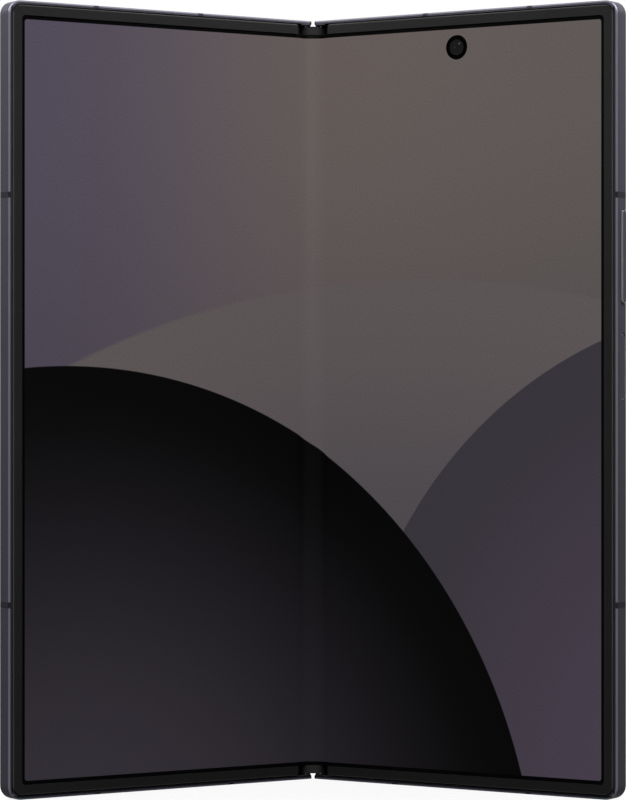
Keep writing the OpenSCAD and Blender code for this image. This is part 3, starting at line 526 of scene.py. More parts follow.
class Wires:
    """Writes a node tree in short steps, and lays its nodes out in rows."""

    COLUMNS = 9
    COLUMN_W = 220
    ROW_H = -260

    def __init__(self, tree: bpy.types.NodeTree) -> None:
        """Starts on a tree, which is emptied.

        Args:
            tree: The node tree.
        """
        self.tree = tree
        tree.nodes.clear()
        self.count = 0

    def node(self, kind: str, **settings: object) -> bpy.types.Node:
        """Adds a node and sets its plain properties.

        Args:
            kind: The node's type.
            settings: Its properties and their values.

        Returns:
            The node.
        """
        made = self.tree.nodes.new(kind)
        row, column = divmod(self.count, self.COLUMNS)
        made.location = (self.COLUMN_W * column, self.ROW_H * row)
        self.count += 1
        for key, value in settings.items():
            setattr(made, key, value)
        return made

    def feed(self, socket: Socket, value: Value) -> None:
        """Links a socket to another, or sets its constant.

        Args:
            socket: The input.
            value: An output or a constant.
        """
        if isinstance(value, Socket):
            self.tree.links.new(value, socket)
        else:
            socket.default_value = value

    def math(self, what: str, a: Value, b: Value = 0.0, c: Value = 0.0) -> Socket:
        """Adds one sum on numbers.

        Args:
            what: The operation.
            a: First number.
            b: Second number.
            c: Third number.

        Returns:
            The result.
        """
        made = self.node("ShaderNodeMath", operation=what)
        for socket, value in zip(made.inputs, (a, b, c)):
            self.feed(socket, value)
        return made.outputs[0]

    def plus(self, a: Value, b: Value) -> Socket:
        """Adds two numbers."""
        return self.math("ADD", a, b)

    def minus(self, a: Value, b: Value) -> Socket:
        """Takes the second number from the first."""
        return self.math("SUBTRACT", a, b)

    def times(self, a: Value, b: Value) -> Socket:
        """Multiplies two numbers."""
        return self.math("MULTIPLY", a, b)

    def least(self, a: Value, b: Value) -> Socket:
        """Gives the smaller of two numbers."""
        return self.math("MINIMUM", a, b)

    def most(self, a: Value, b: Value) -> Socket:
        """Gives the larger of two numbers."""
        return self.math("MAXIMUM", a, b)

    def size(self, a: Value) -> Socket:
        """Gives a number without its sign."""
        return self.math("ABSOLUTE", a)

    def waves(self, value: Value, pitch: float) -> Socket:
        """Gives a wave from 0 to 1 and back in each pitch."""
        return self.size(self.math("SINE", self.times(value, math.pi / pitch)))

    def vector(self, what: str, a: Value, b: Value = (0, 0, 0)) -> bpy.types.Node:
        """Adds one sum on vectors.

        Args:
            what: The operation.
            a: First vector.
            b: Second vector.

        Returns:
            The node.
        """
        made = self.node("ShaderNodeVectorMath", operation=what)
        self.feed(made.inputs[0], a)
        self.feed(made.inputs[1], b)
        return made

    def scaled(self, vector: Value, factor: Value) -> Socket:
        """Multiplies a vector by a number.

        Args:
            vector: The vector.
            factor: The number.

        Returns:
            The result.
        """
        made = self.vector("SCALE", vector)
        self.feed(made.inputs["Scale"], factor)
        return made.outputs[0]

    def stretched(self, vector: Value, factors: tuple[float, float, float]) -> Socket:
        """Multiplies each part of a vector by its own number."""
        return self.vector("MULTIPLY", vector, factors).outputs[0]

    def length(self, x: Value, y: Value) -> Socket:
        """Gives the length of a flat vector."""
        return self.vector("LENGTH", self.join(x, y)).outputs["Value"]

    def join(self, x: Value, y: Value, z: Value = 0.0) -> Socket:
        """Makes a vector of three numbers.

        Args:
            x: First number.
            y: Second number.
            z: Third number.

        Returns:
            The vector.
        """
        made = self.node("ShaderNodeCombineXYZ")
        for socket, value in zip(made.inputs, (x, y, z)):
            self.feed(socket, value)
        return made.outputs[0]

    def split(self, vector: Value) -> list[Socket]:
        """Takes a vector apart.

        Args:
            vector: The vector.

        Returns:
            Its three numbers.
        """
        made = self.node("ShaderNodeSeparateXYZ")
        self.feed(made.inputs[0], vector)
        return list(made.outputs)

    def fade(self, value: Value, low: Value, high: Value, a: float = 0.0, b: float = 1.0) -> Socket:
        """Turns smoothly from one number to another as a value passes a range.

        Args:
            value: The value.
            low: Start of the range.
            high: End of the range.
            a: Result below the range.
            b: Result above it.

        Returns:
            The result.
        """
        made = self.node("ShaderNodeMapRange", interpolation_type="SMOOTHSTEP")
        for socket, item in zip(made.inputs, (value, low, high, a, b)):
            self.feed(socket, item)
        return made.outputs[0]

    def fall(self, value: Value, low: Value, high: Value) -> Socket:
        """Turns smoothly from 1 to 0 as a value passes a range."""
        return self.fade(value, low, high, 1.0, 0.0)

    def blend(self, share: Value, a: Value, b: Value) -> Socket:
        """Mixes two colours.

        Args:
            share: Share of the second colour.
            a: First colour.
            b: Second colour.

        Returns:
            The mixed colour.
        """
        made = self.node("ShaderNodeMix", data_type="RGBA")
        self.feed(made.inputs[0], share)
        self.feed(made.inputs[6], a)
        self.feed(made.inputs[7], b)
        return made.outputs[2]

    def noise(self, vector: Value, scale: float, detail: float = 2.0, rough: float = 0.5) -> Socket:
        """Adds noise on a vector, around 0.5.

        Args:
            vector: Where the noise is read.
            scale: Patches in each unit of the vector.
            detail: Number of finer layers.
            rough: Strength of the finer layers.

        Returns:
            The noise.
        """
        made = self.node("ShaderNodeTexNoise")
        self.feed(made.inputs["Vector"], vector)
        made.inputs["Scale"].default_value = scale
        made.inputs["Detail"].default_value = detail
        made.inputs["Roughness"].default_value = rough
        return made.outputs[0]

    def group(self, effect: Effect, **values: Value) -> bpy.types.bpy_prop_collection:
        """Places a shared group with its own values.

        Args:
            effect: The group.
            values: The inputs and their values.

        Returns:
            The group's outputs.
        """
        made = self.node("ShaderNodeGroup")
        made.node_tree = bpy.data.node_groups[effect.value]
        for key, value in values.items():
            self.feed(made.inputs[key], value)
        return made.outputs


class GroupWires(Wires):
    """The wires of a new shared group, which all read one vector."""

    def __init__(self, effect: Effect, ins: dict[str, float], outs: dict[str, str]) -> None:
        """Makes an empty group with its sockets.

        Args:
            effect: The group.
            ins: Each number that it takes besides the vector, and its default.
            outs: Each output's kind.
        """
        tree = bpy.data.node_groups.new(effect.value, "ShaderNodeTree")
        super().__init__(tree)
        tree.interface.new_socket("Vector", in_out="INPUT", socket_type=VECTOR)
        for label, default in ins.items():
            socket = tree.interface.new_socket(label, in_out="INPUT", socket_type=FLOAT)
            socket.default_value = default
        for label, kind in outs.items():
            tree.interface.new_socket(label, in_out="OUTPUT", socket_type=kind)
        self.ins = self.node("NodeGroupInput").outputs
        self.outs = self.node("NodeGroupOutput").inputs

    def give(self, **values: Socket) -> None:
        """Links the group's outputs by their names."""
        for label, value in values.items():
            self.feed(self.outs[label], value)


class SurfaceWires(Wires):
    """The wires of a material, with its shader's inputs and its coordinates."""

    def __init__(self, material: bpy.types.Material) -> None:
        """Starts a material with one plain shader.

        Args:
            material: The material.
        """
        material.use_nodes = True
        super().__init__(material.node_tree)
        self.out = self.node("ShaderNodeOutputMaterial").inputs["Surface"]
        made = self.node("ShaderNodeBsdfPrincipled")
        self.skin = made.inputs
        self.shader = made.outputs[0]
        self.feed(self.out, self.shader)
        place = self.node("ShaderNodeTexCoord").outputs
        self.object = place["Object"]
        self.uv = place["UV"]
        self.mm = self.scaled(self.object, 1 / MM)

    def flat(self) -> bpy.types.bpy_prop_collection:
        """Gives the point in its half's flat space, whole and as U, T and Z in mm."""
        return self.group(Effect.FLAT, Vector=self.object)

    def from_axis(self, u: float, z: float) -> Socket:
        """Gives the distance from an axis through a half, in mm.

        Args:
            u: The axis's distance from the centre plane.
            z: The axis's height.

        Returns:
            The distance.
        """
        flat = self.flat()
        return self.length(self.minus(flat["U"], u), self.minus(flat["Z"], z))


@dataclass(frozen=True)
class SharedGroups:
    """The effects that more than one finish uses, each built once.

    Lengths are in millimetres, and scales are in patches for each millimetre.
    """

    fine_share: float = 0.6
    broad_scale: float = 0.09
    smear_scale: tuple[float, float, float] = (0.06, 0.06, 0.035)
    smear_range: tuple[float, float] = (0.42, 0.68)
    speck_scale: float = 2.6
    speck_range: tuple[float, float] = (0.70, 0.76)
    speck_share: float = 0.35
    rim_bow: float = -1.1
    # Ranges of the painted dark shade line behind each front chamfer, and of the painted highlight on it.
    line_start: tuple[float, float] = (0.08, 0.18)
    line_end: tuple[float, float] = (0.34, 0.5)
    rim_start: tuple[float, float] = (0.06, 0.22)
    rim_end: float = 0.14
    # Ranges of the painted shade on the rim's inner strip and at the ends by the hinge.
    lip_hinge: tuple[float, float] = (0.95, 1.1)
    lip_start: tuple[float, float] = (0.36, 0.66)
    lip_end: tuple[float, float] = (0.8, 0.9)
    lip_deep: tuple[float, float] = (0.1, 0.35)
    corner_share: float = 0.12
    corner_most: float = 0.5
    wear_scale: float = 0.8
    wear_range: tuple[float, float] = (0.48, 0.7)

    def build(self) -> None:
        """Builds every shared group."""
        self._flat_space()
        self._fine_grain()
        self._touch_marks()
        self._rolled_rim()
        self._edge_wear()

    def _flat_space(self) -> None:
        """Gives a point's distance, depth and height in its half's flat space, in mm."""
        w = GroupWires(Effect.FLAT, {}, {"Flat": VECTOR, "U": FLOAT, "T": FLOAT, "Z": FLOAT})
        x, y, z = w.split(w.scaled(w.ins["Vector"], 1 / MM))
        across = w.minus(w.size(x), HINGE.axis_u / MM)
        deep = w.minus(y, (HINGE.centre_y + HINGE.axis_t) / MM)
        cos, sin = math.cos(HINGE.fold), math.sin(HINGE.fold)
        u = w.math("MULTIPLY_ADD", across, cos, HINGE.axis_u / MM)
        u = w.math("MULTIPLY_ADD", deep, -sin, u)
        t = w.math("MULTIPLY_ADD", across, sin, HINGE.axis_t / MM)
        t = w.math("MULTIPLY_ADD", deep, cos, t)
        w.give(Flat=w.join(u, t, z), U=u, T=t, Z=z)

    def _fine_grain(self) -> None:
        """Gives the height, in metres, and the tint of a fine grain."""
        defaults = {"Size": 0.1, "Height": 0.002, "Mottling": 0.05}
        w = GroupWires(Effect.GRAIN, defaults, {"Height": FLOAT, "Tint": FLOAT})
        place = w.ins["Vector"]
        small = w.scaled(place, w.math("DIVIDE", 1.0, w.ins["Size"]))
        fine = w.minus(w.noise(small, 1.0, detail=3.0, rough=0.6), 0.5)
        broad = w.minus(w.noise(place, self.broad_scale, detail=3.0, rough=0.55), 0.5)
        height = w.times(w.times(fine, w.ins["Height"]), MM)
        both = w.plus(w.times(fine, self.fine_share), broad)
        w.give(Height=height, Tint=w.math("MULTIPLY_ADD", both, w.ins["Mottling"], 1.0))

    def _touch_marks(self) -> None:
        """Gives a surface's roughness with the marks where fingers and dust have dulled it."""
        defaults = {"Roughness": 0.4, "Amount": 0.08}
        w = GroupWires(Effect.TOUCH, defaults, {"Roughness": FLOAT})
        place = w.ins["Vector"]
        smear = w.noise(w.stretched(place, self.smear_scale), 1.0, detail=4.0, rough=0.6)
        specks = w.fade(w.noise(place, self.speck_scale, detail=1.0, rough=0.4), *self.speck_range)
        mask = w.plus(w.fade(smear, *self.smear_range), w.times(specks, self.speck_share))
        w.give(Roughness=w.math("MULTIPLY_ADD", mask, w.ins["Amount"], w.ins["Roughness"]))

    def _rolled_rim(self) -> None:
        """Rounds the chamfers of a half with a bump, and masks the painted light along its front edge."""
        outs = {"Height": FLOAT, "Line": FLOAT, "Rim": FLOAT, "Lip": FLOAT}
        w = GroupWires(Effect.RIM, {"Front": 0.45, "Back": 0.3}, outs)
        front = w.ins["Front"]
        flat = w.group(Effect.FLAT, Vector=w.ins["Vector"])
        depth = flat["T"]
        drops = []
        for width, level in ((front, depth), (w.ins["Back"], w.minus(BODY_T / MM, depth))):
            share = w.node("ShaderNodeClamp")
            w.feed(share.inputs[0], w.math("DIVIDE", level, width))
            centred = w.minus(share.outputs[0], 0.5)
            drops.append(w.times(w.times(w.times(centred, centred), width), self.rim_bow * MM))
        # Painted dark line of shade just behind each front chamfer.
        starts = [w.plus(front, reach) for reach in self.line_start]
        ends = [w.plus(front, reach) for reach in self.line_end]
        line = w.times(w.fade(depth, *starts), w.fall(depth, *ends))
        # Painted highlight along the middle of each front chamfer.
        rim = w.times(w.fade(depth, *self.rim_start), w.fall(depth, front, w.plus(front, self.rim_end)))
        # Painted shade on the rim's inner strip at the outer side and the foot, and at the ends by the
        # hinge.
        lip = w.fall(flat["U"], *self.lip_hinge)
        for edge in (flat["Z"], w.minus(HALF_W / MM, flat["U"])):
            lip = w.most(lip, w.times(w.fade(edge, *self.lip_start), w.fall(edge, *self.lip_end)))
        w.give(Height=w.plus(*drops), Line=line, Rim=rim, Lip=w.times(lip, w.fall(depth, *self.lip_deep)))

    def _edge_wear(self) -> None:
        """Gives a patchy mask of metal worn smooth along the rims and corners."""
        w = GroupWires(Effect.WEAR, {"Reach": 0.35, "Amount": 0.5}, {"Mask": FLOAT})
        flat = w.group(Effect.FLAT, Vector=w.ins["Vector"])
        near = w.least(flat["T"], w.minus(BODY_T / MM, flat["T"]))
        tall = w.least(flat["Z"], w.minus(BODY_H / MM, flat["Z"]))
        wide = w.minus(HALF_W / MM, flat["U"])
        corner = w.plus(w.times(tall, self.corner_share), w.times(wide, self.corner_share))
        edge = w.fall(w.plus(near, w.least(corner, self.corner_most)), 0.0, w.ins["Reach"])
        patch = w.fade(w.noise(flat["Flat"], self.wear_scale, detail=4.0, rough=0.65), *self.wear_range)
        w.give(Mask=w.times(w.times(edge, patch), w.ins["Amount"]))


# ---------------------------------------------------------------- finishes

DIM_SHINE = (0.35, 0.35, 0.36, 1.0)


@dataclass(frozen=True)
class Finish:
    """A surface finish with a fine grain, mottling and touch marks.

    Lengths of patterns and heights of reliefs are in millimetres.
    """

    name: str
    colour: str = "202022"
    roughness: float = 0.5
    metallic: float = 0.0
    specular: float = 0.3
    grain: float = 0.08
    relief: float = 0.004
    mottling: float = 0.25
    touch: float = 0.08

    def make(self) -> bpy.types.Material:
        """Builds the material once and gives it back.

        Returns:
            The material.
        """
        if self.name in bpy.data.materials:
            return bpy.data.materials[self.name]
        material = bpy.data.materials.new(self.name)
        material.diffuse_color = tint(self.colour)
        w = SurfaceWires(material)
        w.skin["Metallic"].default_value = self.metallic
        w.skin["Specular IOR Level"].default_value = self.specular
        self.paint(w)
        return material

    def paint(self, w: SurfaceWires) -> None:
        """Wires colour, roughness and relief into the shader."""
        self.surface(w, tint(self.colour))

    def surface(
        self, w: SurfaceWires, colour: Value, height: Value | None = None, roughness: Value | None = None
    ) -> None:
        """Puts grain, mottling and touch marks over a colour.

        Args:
            w: The material's wires.
            colour: Base colour before the mottling.
            height: Relief in metres, added to the grain.
            roughness: Roughness before the touch marks.
        """
        grain = w.group(
            Effect.GRAIN, Vector=w.mm, Size=self.grain, Height=self.relief, Mottling=self.mottling
        )
        rough = self.roughness if roughness is None else roughness
        touch = w.group(Effect.TOUCH, Vector=w.mm, Roughness=rough, Amount=self.touch)
        plain = colour[:3] if isinstance(colour, tuple) else colour
        w.feed(w.skin["Base Color"], w.scaled(plain, grain["Tint"]))
        w.feed(w.skin["Roughness"], touch["Roughness"])
        bump = w.node("ShaderNodeBump")
        bump.inputs["Strength"].default_value = 1.0
        bump.inputs["Distance"].default_value = 1.0
        total = grain["Height"] if height is None else w.plus(grain["Height"], height)
        w.feed(bump.inputs["Height"], total)
        w.feed(w.skin["Normal"], bump.outputs[0])


@dataclass(frozen=True)
class AnodisedMetal(Finish):
    """Satin anodised aluminium with rounded rims and worn edges, and painted highlights and painted shade
    along its front rims.
    """

    worn: str = "66656d"
    # Colour of the painted highlight along each front chamfer.
    rolled: str = "5d5c65"
    # Colour of the painted dark shade line behind the chamfers.
    line: str = "232227"
    # Colour of the painted shade on the rim's inner strip and by the hinge.
    lip: str = "0d0d0f"
    wear: float = 0.35
    line_share: float = 0.75
    rim_smooth: float = 0.12
    rim_metal: float = 0.42

    def paint(self, w: SurfaceWires) -> None:
        """Wires the painted highlight along the rims, the painted shade line behind them, the painted
        shade on the inner strip and by the hinge, and the wear.

        Args:
            w: The material's wires.
        """
        rim = w.group(Effect.RIM, Vector=w.object)
        wear = w.group(Effect.WEAR, Vector=w.object, Amount=self.wear)["Mask"]
        # Painted highlight, painted shade line and painted shade, then the real wear.
        colour = w.blend(rim["Rim"], tint(self.colour), tint(self.rolled))
        colour = w.blend(w.times(rim["Line"], self.line_share), colour, tint(self.line))
        colour = w.blend(rim["Lip"], colour, tint(self.lip))
        colour = w.blend(wear, colour, tint(self.worn))
        rough = w.math("MULTIPLY_ADD", rim["Rim"], -self.rim_smooth, self.roughness)
        w.feed(w.skin["Metallic"], w.math("MULTIPLY_ADD", rim["Rim"], self.rim_metal, self.metallic))
        w.skin["Specular Tint"].default_value = DIM_SHINE
        self.surface(w, colour, rim["Height"], rough)


@dataclass(frozen=True)
class KeyMetal(Finish):
    """The metal of the keys, with a painted highlight line round their outer edge.

    Each span is a key's lowest and highest point, with round ends.
    """

    # Colour of the painted highlight round each key's outer edge.
    polished: str = "6a696f"
    near_t: float = 1.95
    far_t: float = 3.55
    spans: tuple[tuple[float, float], ...] = ((98.35, 116.85), (79.2, 92.3))
    line_inside: tuple[float, float] = (0.06, 0.16)
    line_outside: tuple[float, float] = (-0.3, -0.1)

    def paint(self, w: SurfaceWires) -> None:
        """Wires the painted highlight line along each key's front, back and round ends.

        Args:
            w: The material's wires.
        """
        flat = w.flat()
        half = (self.far_t - self.near_t) / 2
        across = w.minus(flat["T"], (self.near_t + self.far_t) / 2)
        edges = []
        for low, high in self.spans:
            along = w.minus(w.size(w.minus(flat["Z"], (low + high) / 2)), (high - low) / 2 - half)
            inside = w.minus(half, w.length(w.most(along, 0.0), across))
            edges.append(w.times(w.fall(inside, *self.line_inside), w.fade(inside, *self.line_outside)))
        # Painted highlight along each key's outer edge.
        colour = w.blend(w.most(*edges), tint(self.colour), tint(self.polished))
        w.skin["Specular Tint"].default_value = DIM_SHINE
        self.surface(w, colour)


@dataclass(frozen=True)
class MouldedPlastic(Finish):
    """Fine-textured moulded plastic or rubber, paler where it is worn, with a painted highlight along an
    outer edge.

    The edge is the distance of the outer edge that gets a painted highlight from the half's outline.
    """

    # Colour of both the wear and the painted edge highlight.
    rubbed: str = "2c2c2c"
    edge: float = 0.0
    line: tuple[float, float] = (0.12, 0.3)
    line_share: float = 0.85
    wear_reach: float = 0.3
    wear: float = 0.5

    def paint(self, w: SurfaceWires) -> None:
        """Wires a worn tint along the exposed rims, and a painted highlight along the outer edge.

        Args:
            w: The material's wires.
        """
        wear = w.group(Effect.WEAR, Vector=w.object, Reach=self.wear_reach, Amount=self.wear)["Mask"]
        # Painted highlight along the outer edge, mixed into the wear mask.
        if self.edge > 0:
            flat = w.flat()
            tall = w.least(flat["Z"], w.minus(BODY_H / MM, flat["Z"]))
            rim = w.least(w.minus(HALF_W / MM, flat["U"]), tall)
            line = w.fall(rim, *[self.edge + reach for reach in self.line])
            wear = w.most(wear, w.times(line, self.line_share))
        self.surface(w, w.blend(wear, tint(self.colour), tint(self.rubbed)))


@dataclass(frozen=True)
class CapPlastic(Finish):
    """Black plastic with painted shade that darkens it towards the two sides of the hinge."""

    # Colour of the painted shade at the sides, and the range over which it comes in.
    side: str = "050505"
    reach: tuple[float, float] = (0.7, 2.75)

    def paint(self, w: SurfaceWires) -> None:
        """Wires the painted shade on the two sides."""
        share = w.fade(w.size(w.split(w.mm)[0]), *self.reach)
        self.surface(w, w.blend(share, tint(self.colour), tint(self.side)))


@dataclass(frozen=True)
class BrushedMetal(Finish):
    """Steel or aluminium with fine brush lines along the height."""

    lines: float = 0.03
    line_scale: float = 0.12
    rough_range: float = 0.25

    def paint(self, w: SurfaceWires) -> None:
        """Wires long thin lines as relief and roughness.

        Args:
            w: The material's wires.
        """
        across = 1 / self.lines
        brush = w.minus(w.noise(w.stretched(w.mm, (across, across, self.line_scale)), 1.0), 0.5)
        rough = w.math("MULTIPLY_ADD", brush, self.rough_range, self.roughness)
        self.surface(w, tint(self.colour), w.times(brush, self.relief * MM), rough)


@dataclass(frozen=True)
class TurnedMetal(Finish):
    """Metal with concentric turning marks round points of the right half's back."""

    centres: tuple[tuple[float, float], ...] = ()
    pitch: float = 0.12
    patch_scale: float = 3.0
    ring_height: float = 0.0008
    ring_share: float = 0.12
    ring_colour: tuple[float, float, float, float] = (0.3, 0.3, 0.32, 1.0)

    def paint(self, w: SurfaceWires) -> None:
        """Wires rings round the nearest centre.

        Args:
            w: The material's wires.
        """
        first, *others = [w.from_axis(u, z) for u, z in self.centres]
        for other in others:
            first = w.least(first, other)
        ring = w.math("SINE", w.times(first, 2 * math.pi / self.pitch))
        uneven = w.noise(w.scaled(w.mm, self.patch_scale), 1.0)
        height = w.times(w.times(ring, uneven), self.ring_height * MM)
        share = w.math("MULTIPLY_ADD", ring, self.ring_share, self.ring_share)
        self.surface(w, w.blend(share, tint(self.colour), self.ring_colour), height)


@dataclass(frozen=True)
class GlossGlass(Finish):
    """Dark glass over film, with a thin clear coat and a faint inner grain.

    Each mark is a round window: its distance, its height, its radius and its colour.
    """

    coat: float = 0.4
    coat_rough: float = 0.08
    flecks: float = 0.15
    fleck_scale: float = 9.0
    fleck_range: tuple[float, float] = (0.5, 0.75)
    fleck_colour: tuple[float, float, float, float] = (0.12, 0.12, 0.14, 1.0)
    marks: tuple[tuple[float, float, float, str], ...] = ()
    soft: float = 0.04

    def paint(self, w: SurfaceWires) -> None:
        """Wires pearly flecks under the coat and any round windows.

        Args:
            w: The material's wires.
        """
        flakes = w.noise(w.scaled(w.mm, self.fleck_scale), 1.0, detail=2.0, rough=0.7)
        share = w.times(w.fade(flakes, *self.fleck_range), self.flecks)
        colour = w.blend(share, tint(self.colour), self.fleck_colour)
        for u, z, radius, code in self.marks:
            inside = w.fall(w.from_axis(u, z), radius - self.soft, radius + self.soft)
            colour = w.blend(inside, colour, tint(code))
        w.skin["Coat Weight"].default_value = self.coat
        w.skin["Coat Roughness"].default_value = self.coat_rough
        self.surface(w, colour)


@dataclass(frozen=True)
class Dune:
    """One round hill of the display's picture, in millimetres from its foot."""

    x: float
    z: float
    radius: float
    crest: str
    foot: str
    depth: float
    soft: float = 0.12


@dataclass(frozen=True)
class FlexibleScreen(Finish):
    """A lit flexible display with a black border, showing plain hills at dusk.

    The sheet is the side of the square that the UVs span. A glow is a colour and the
    range over which it comes up from the left.
    """

    sheet: float = 160.0
    width: float = 138.9
    low: float = 2.2
    high: float = 156.2
    border: float = 1.5
    corner: float = 0.55
    soft: float = 0.05
    dusk: str = "514a59"
    glow: str = "635a58"
    glow_range: tuple[float, float] = (-70.0, 8.0)
    east: str = "5b5654"
    east_range: tuple[float, float] = (10.0, 75.0)
    east_share: float = 0.6
    haze: str = "3d3941"
    haze_range: tuple[float, float] = (40.0, 150.0)
    haze_share: float = 0.65
    grit_scale: float = 4.0
    grit_range: float = 0.9
    grit_level: float = 0.55
    # A painted sheen that brightens the picture near the fold.
    crease: float = 0.05
    crease_range: tuple[float, float] = (0.4, 4.6)
    dunes: tuple[Dune, ...] = (
        Dune(24.0, -92.0, 196.0, "5b5455", "4b474b", 60.0, 0.5),
        Dune(104.0, 2.0, 96.0, "37333a", "443c49", 62.0),
        Dune(-58.0, -26.0, 112.0, "040404", "322e35", 92.0),
    )

    def paint(self, w: SurfaceWires) -> None:
        """Wires the picture, its border and a painted sheen along the fold down the middle.

        Args:
            w: The material's wires.
        """
        x, y, _ = w.split(w.scaled(w.uv, self.sheet))
        x = w.minus(x, self.sheet / 2)
        colour = self._sky(w, x, y)
        for dune in self.dunes:
            colour = self._dune(w, x, y, colour, dune)
        fine = w.join(w.times(x, self.grit_scale), w.times(y, self.grit_scale))
        grit = w.noise(fine, 1.0, detail=2.0, rough=0.7)
        # Painted sheen: the picture is brighter near the fold.
        crease = w.fade(w.size(x), *self.crease_range, self.crease, 0.0)
        level = w.plus(w.math("MULTIPLY_ADD", grit, self.grit_range, self.grit_level), crease)
        shown = w.blend(self._window(w, x, y), (0, 0, 0, 1), w.scaled(colour, level))
        w.feed(w.skin["Emission Color"], shown)
        w.skin["Emission Strength"].default_value = 1.0
        self.surface(w, tint(self.colour))

    def _sky(self, w: SurfaceWires, x: Value, y: Value) -> Socket:
        """Paints the dusk behind the hills.

        Args:
            w: The material's wires.
            x: Distance to the right of the middle.
            y: Height.

        Returns:
            The colour of the sky.
        """
        sky = w.blend(w.fade(x, *self.glow_range), tint(self.dusk), tint(self.glow))
        sky = w.blend(w.fade(x, *self.east_range, 0.0, self.east_share), sky, tint(self.east))
        return w.blend(w.times(w.fall(y, *self.haze_range), self.haze_share), sky, tint(self.haze))

    def _dune(self, w: SurfaceWires, x: Value, y: Value, behind: Value, dune: Dune) -> Socket:
        """Paints one hill over what is behind it.

        Args:
            w: The material's wires.
            x: Distance to the right of the middle.
            y: Height.
            behind: Colour behind the hill.
            dune: The hill.

        Returns:
            The colour with the hill.
        """
        deep = w.minus(dune.radius, w.length(w.minus(x, dune.x), w.minus(y, dune.z)))
        inner = w.blend(w.fade(deep, 0.0, dune.depth), tint(dune.crest), tint(dune.foot))
        return w.blend(w.fade(deep, -dune.soft, dune.soft), behind, inner)

    def _window(self, w: SurfaceWires, x: Value, y: Value) -> Socket:
        """Masks the lit area, a rectangle with small round corners.

        Args:
            w: The material's wires.
            x: Distance to the right of the middle.
            y: Height.

        Returns:
            1 in the lit area and 0 outside it.
        """
        half_w = self.width / 2 - self.border - self.corner
        half_h = (self.high - self.low) / 2 - self.border - self.corner
        over_x = w.minus(w.size(x), half_w)
        over_y = w.minus(w.size(w.minus(y, (self.low + self.high) / 2)), half_h)
        outside = w.length(w.most(over_x, 0.0), w.most(over_y, 0.0))
        inside = w.least(w.most(over_x, over_y), 0.0)
        return w.fall(w.minus(w.plus(outside, inside), self.corner), -self.soft, self.soft)


@dataclass(frozen=True)
class LensGlass(Finish):
    """A stack of lens elements with coated rings round one centre, in flat millimetres.

    Each ring is its radius and its colour, from the outside in. The glint and the flare
    are painted reflections, soft spots placed from the centre.
    """

    u: float = 0.0
    z: float = 0.0
    rings: tuple[tuple[float, str], ...] = ()
    ring_soft: float = 0.03
    glint: str = "1c2a4a"
    glint_at: tuple[float, float] = (0.3, 0.35)
    glint_r: float = 0.3
    flare: str = "0c0a10"
    flare_at: tuple[float, float] = (-0.3, -0.35)
    spot_share: float = 0.9
    coat: float = 0.12
    coat_rough: float = 0.03

    def paint(self, w: SurfaceWires) -> None:
        """Wires the rings from the outside in, and an off-centre painted glint and flare.

        Args:
            w: The material's wires.
        """
        away = w.from_axis(self.u, self.z)
        colour = tint(self.colour)
        for radius, code in self.rings:
            inside = w.fall(away, radius - self.ring_soft, radius + self.ring_soft)
            colour = w.blend(inside, colour, tint(code))
        # Painted reflections: a soft glint and flare over the lens.
        for code, (across, up) in ((self.flare, self.flare_at), (self.glint, self.glint_at)):
            spot = w.from_axis(self.u + across, self.z + up)
            colour = w.blend(w.fade(spot, 0.0, self.glint_r, self.spot_share, 0.0), colour, tint(code))
        w.skin["Coat Weight"].default_value = self.coat
        w.skin["Coat Roughness"].default_value = self.coat_rough
        self.surface(w, colour)


@dataclass(frozen=True)
class CircuitBoard(Finish):
    """A solder-masked board with traces and tiny joints."""

    trace: str = "3c6a4c"
    trace_share: float = 0.6
    trace_height: float = 0.02
    joint: str = "b08a48"
    joint_scale: float = 1.3
    joint_range: tuple[float, float] = (0.10, 0.16)
    layout: tuple[tuple[str, float], ...] = (
        ("Scale", 0.6),
        ("Mortar Size", 0.03),
        ("Brick Width", 0.9),
        ("Row Height", 0.35),
    )

    def paint(self, w: SurfaceWires) -> None:
        """Wires a grid of traces and pads under the mask.

        Args:
            w: The material's wires.
        """
        flat = w.flat()
        place = w.join(flat["U"], flat["Z"])
        brick = w.node("ShaderNodeTexBrick")
        w.feed(brick.inputs["Vector"], place)
        for key, value in self.layout:
            brick.inputs[key].default_value = value
        traces = brick.outputs["Fac"]
        joints = w.node("ShaderNodeTexVoronoi")
        w.feed(joints.inputs["Vector"], place)
        joints.inputs["Scale"].default_value = self.joint_scale
        colour = w.blend(w.times(traces, self.trace_share), tint(self.colour), tint(self.trace))
        colour = w.blend(w.fall(joints.outputs["Distance"], *self.joint_range), colour, tint(self.joint))
        self.surface(w, colour, w.times(traces, self.trace_height * MM))


@dataclass(frozen=True)
class WoundCopper(Finish):
    """A flat coil of enamelled copper round one centre."""

    u: float = 38.0
    z: float = 61.5
    pitch: float = 0.55
    gap: str = "2c160c"
    gap_range: tuple[float, float] = (0.05, 0.45)
    wire_height: float = 0.03

    def paint(self, w: SurfaceWires) -> None:
        """Wires the turns as relief and dark gaps.

        Args:
            w: The material's wires.
        """
        wire = w.waves(w.from_axis(self.u, self.z), self.pitch)
        colour = w.blend(w.fade(wire, *self.gap_range), tint(self.gap), tint(self.colour))
        self.surface(w, colour, w.times(wire, self.wire_height * MM))


@dataclass(frozen=True)
class AmberFlex(Finish):
    """A flexible circuit, with fine copper lines across the hinge."""

    copper: str = "9a5a26"
    pitch: float = 0.35
    line_range: tuple[float, float] = (0.55, 0.75)
    line_height: float = 0.01

    def paint(self, w: SurfaceWires) -> None:
        """Wires parallel traces along the ribbon.

        Args:
            w: The material's wires.
        """
        line = w.waves(w.split(w.mm)[2], self.pitch)
        colour = w.blend(w.fade(line, *self.line_range), tint(self.colour), tint(self.copper))
        self.surface(w, colour, w.times(line, self.line_height * MM))


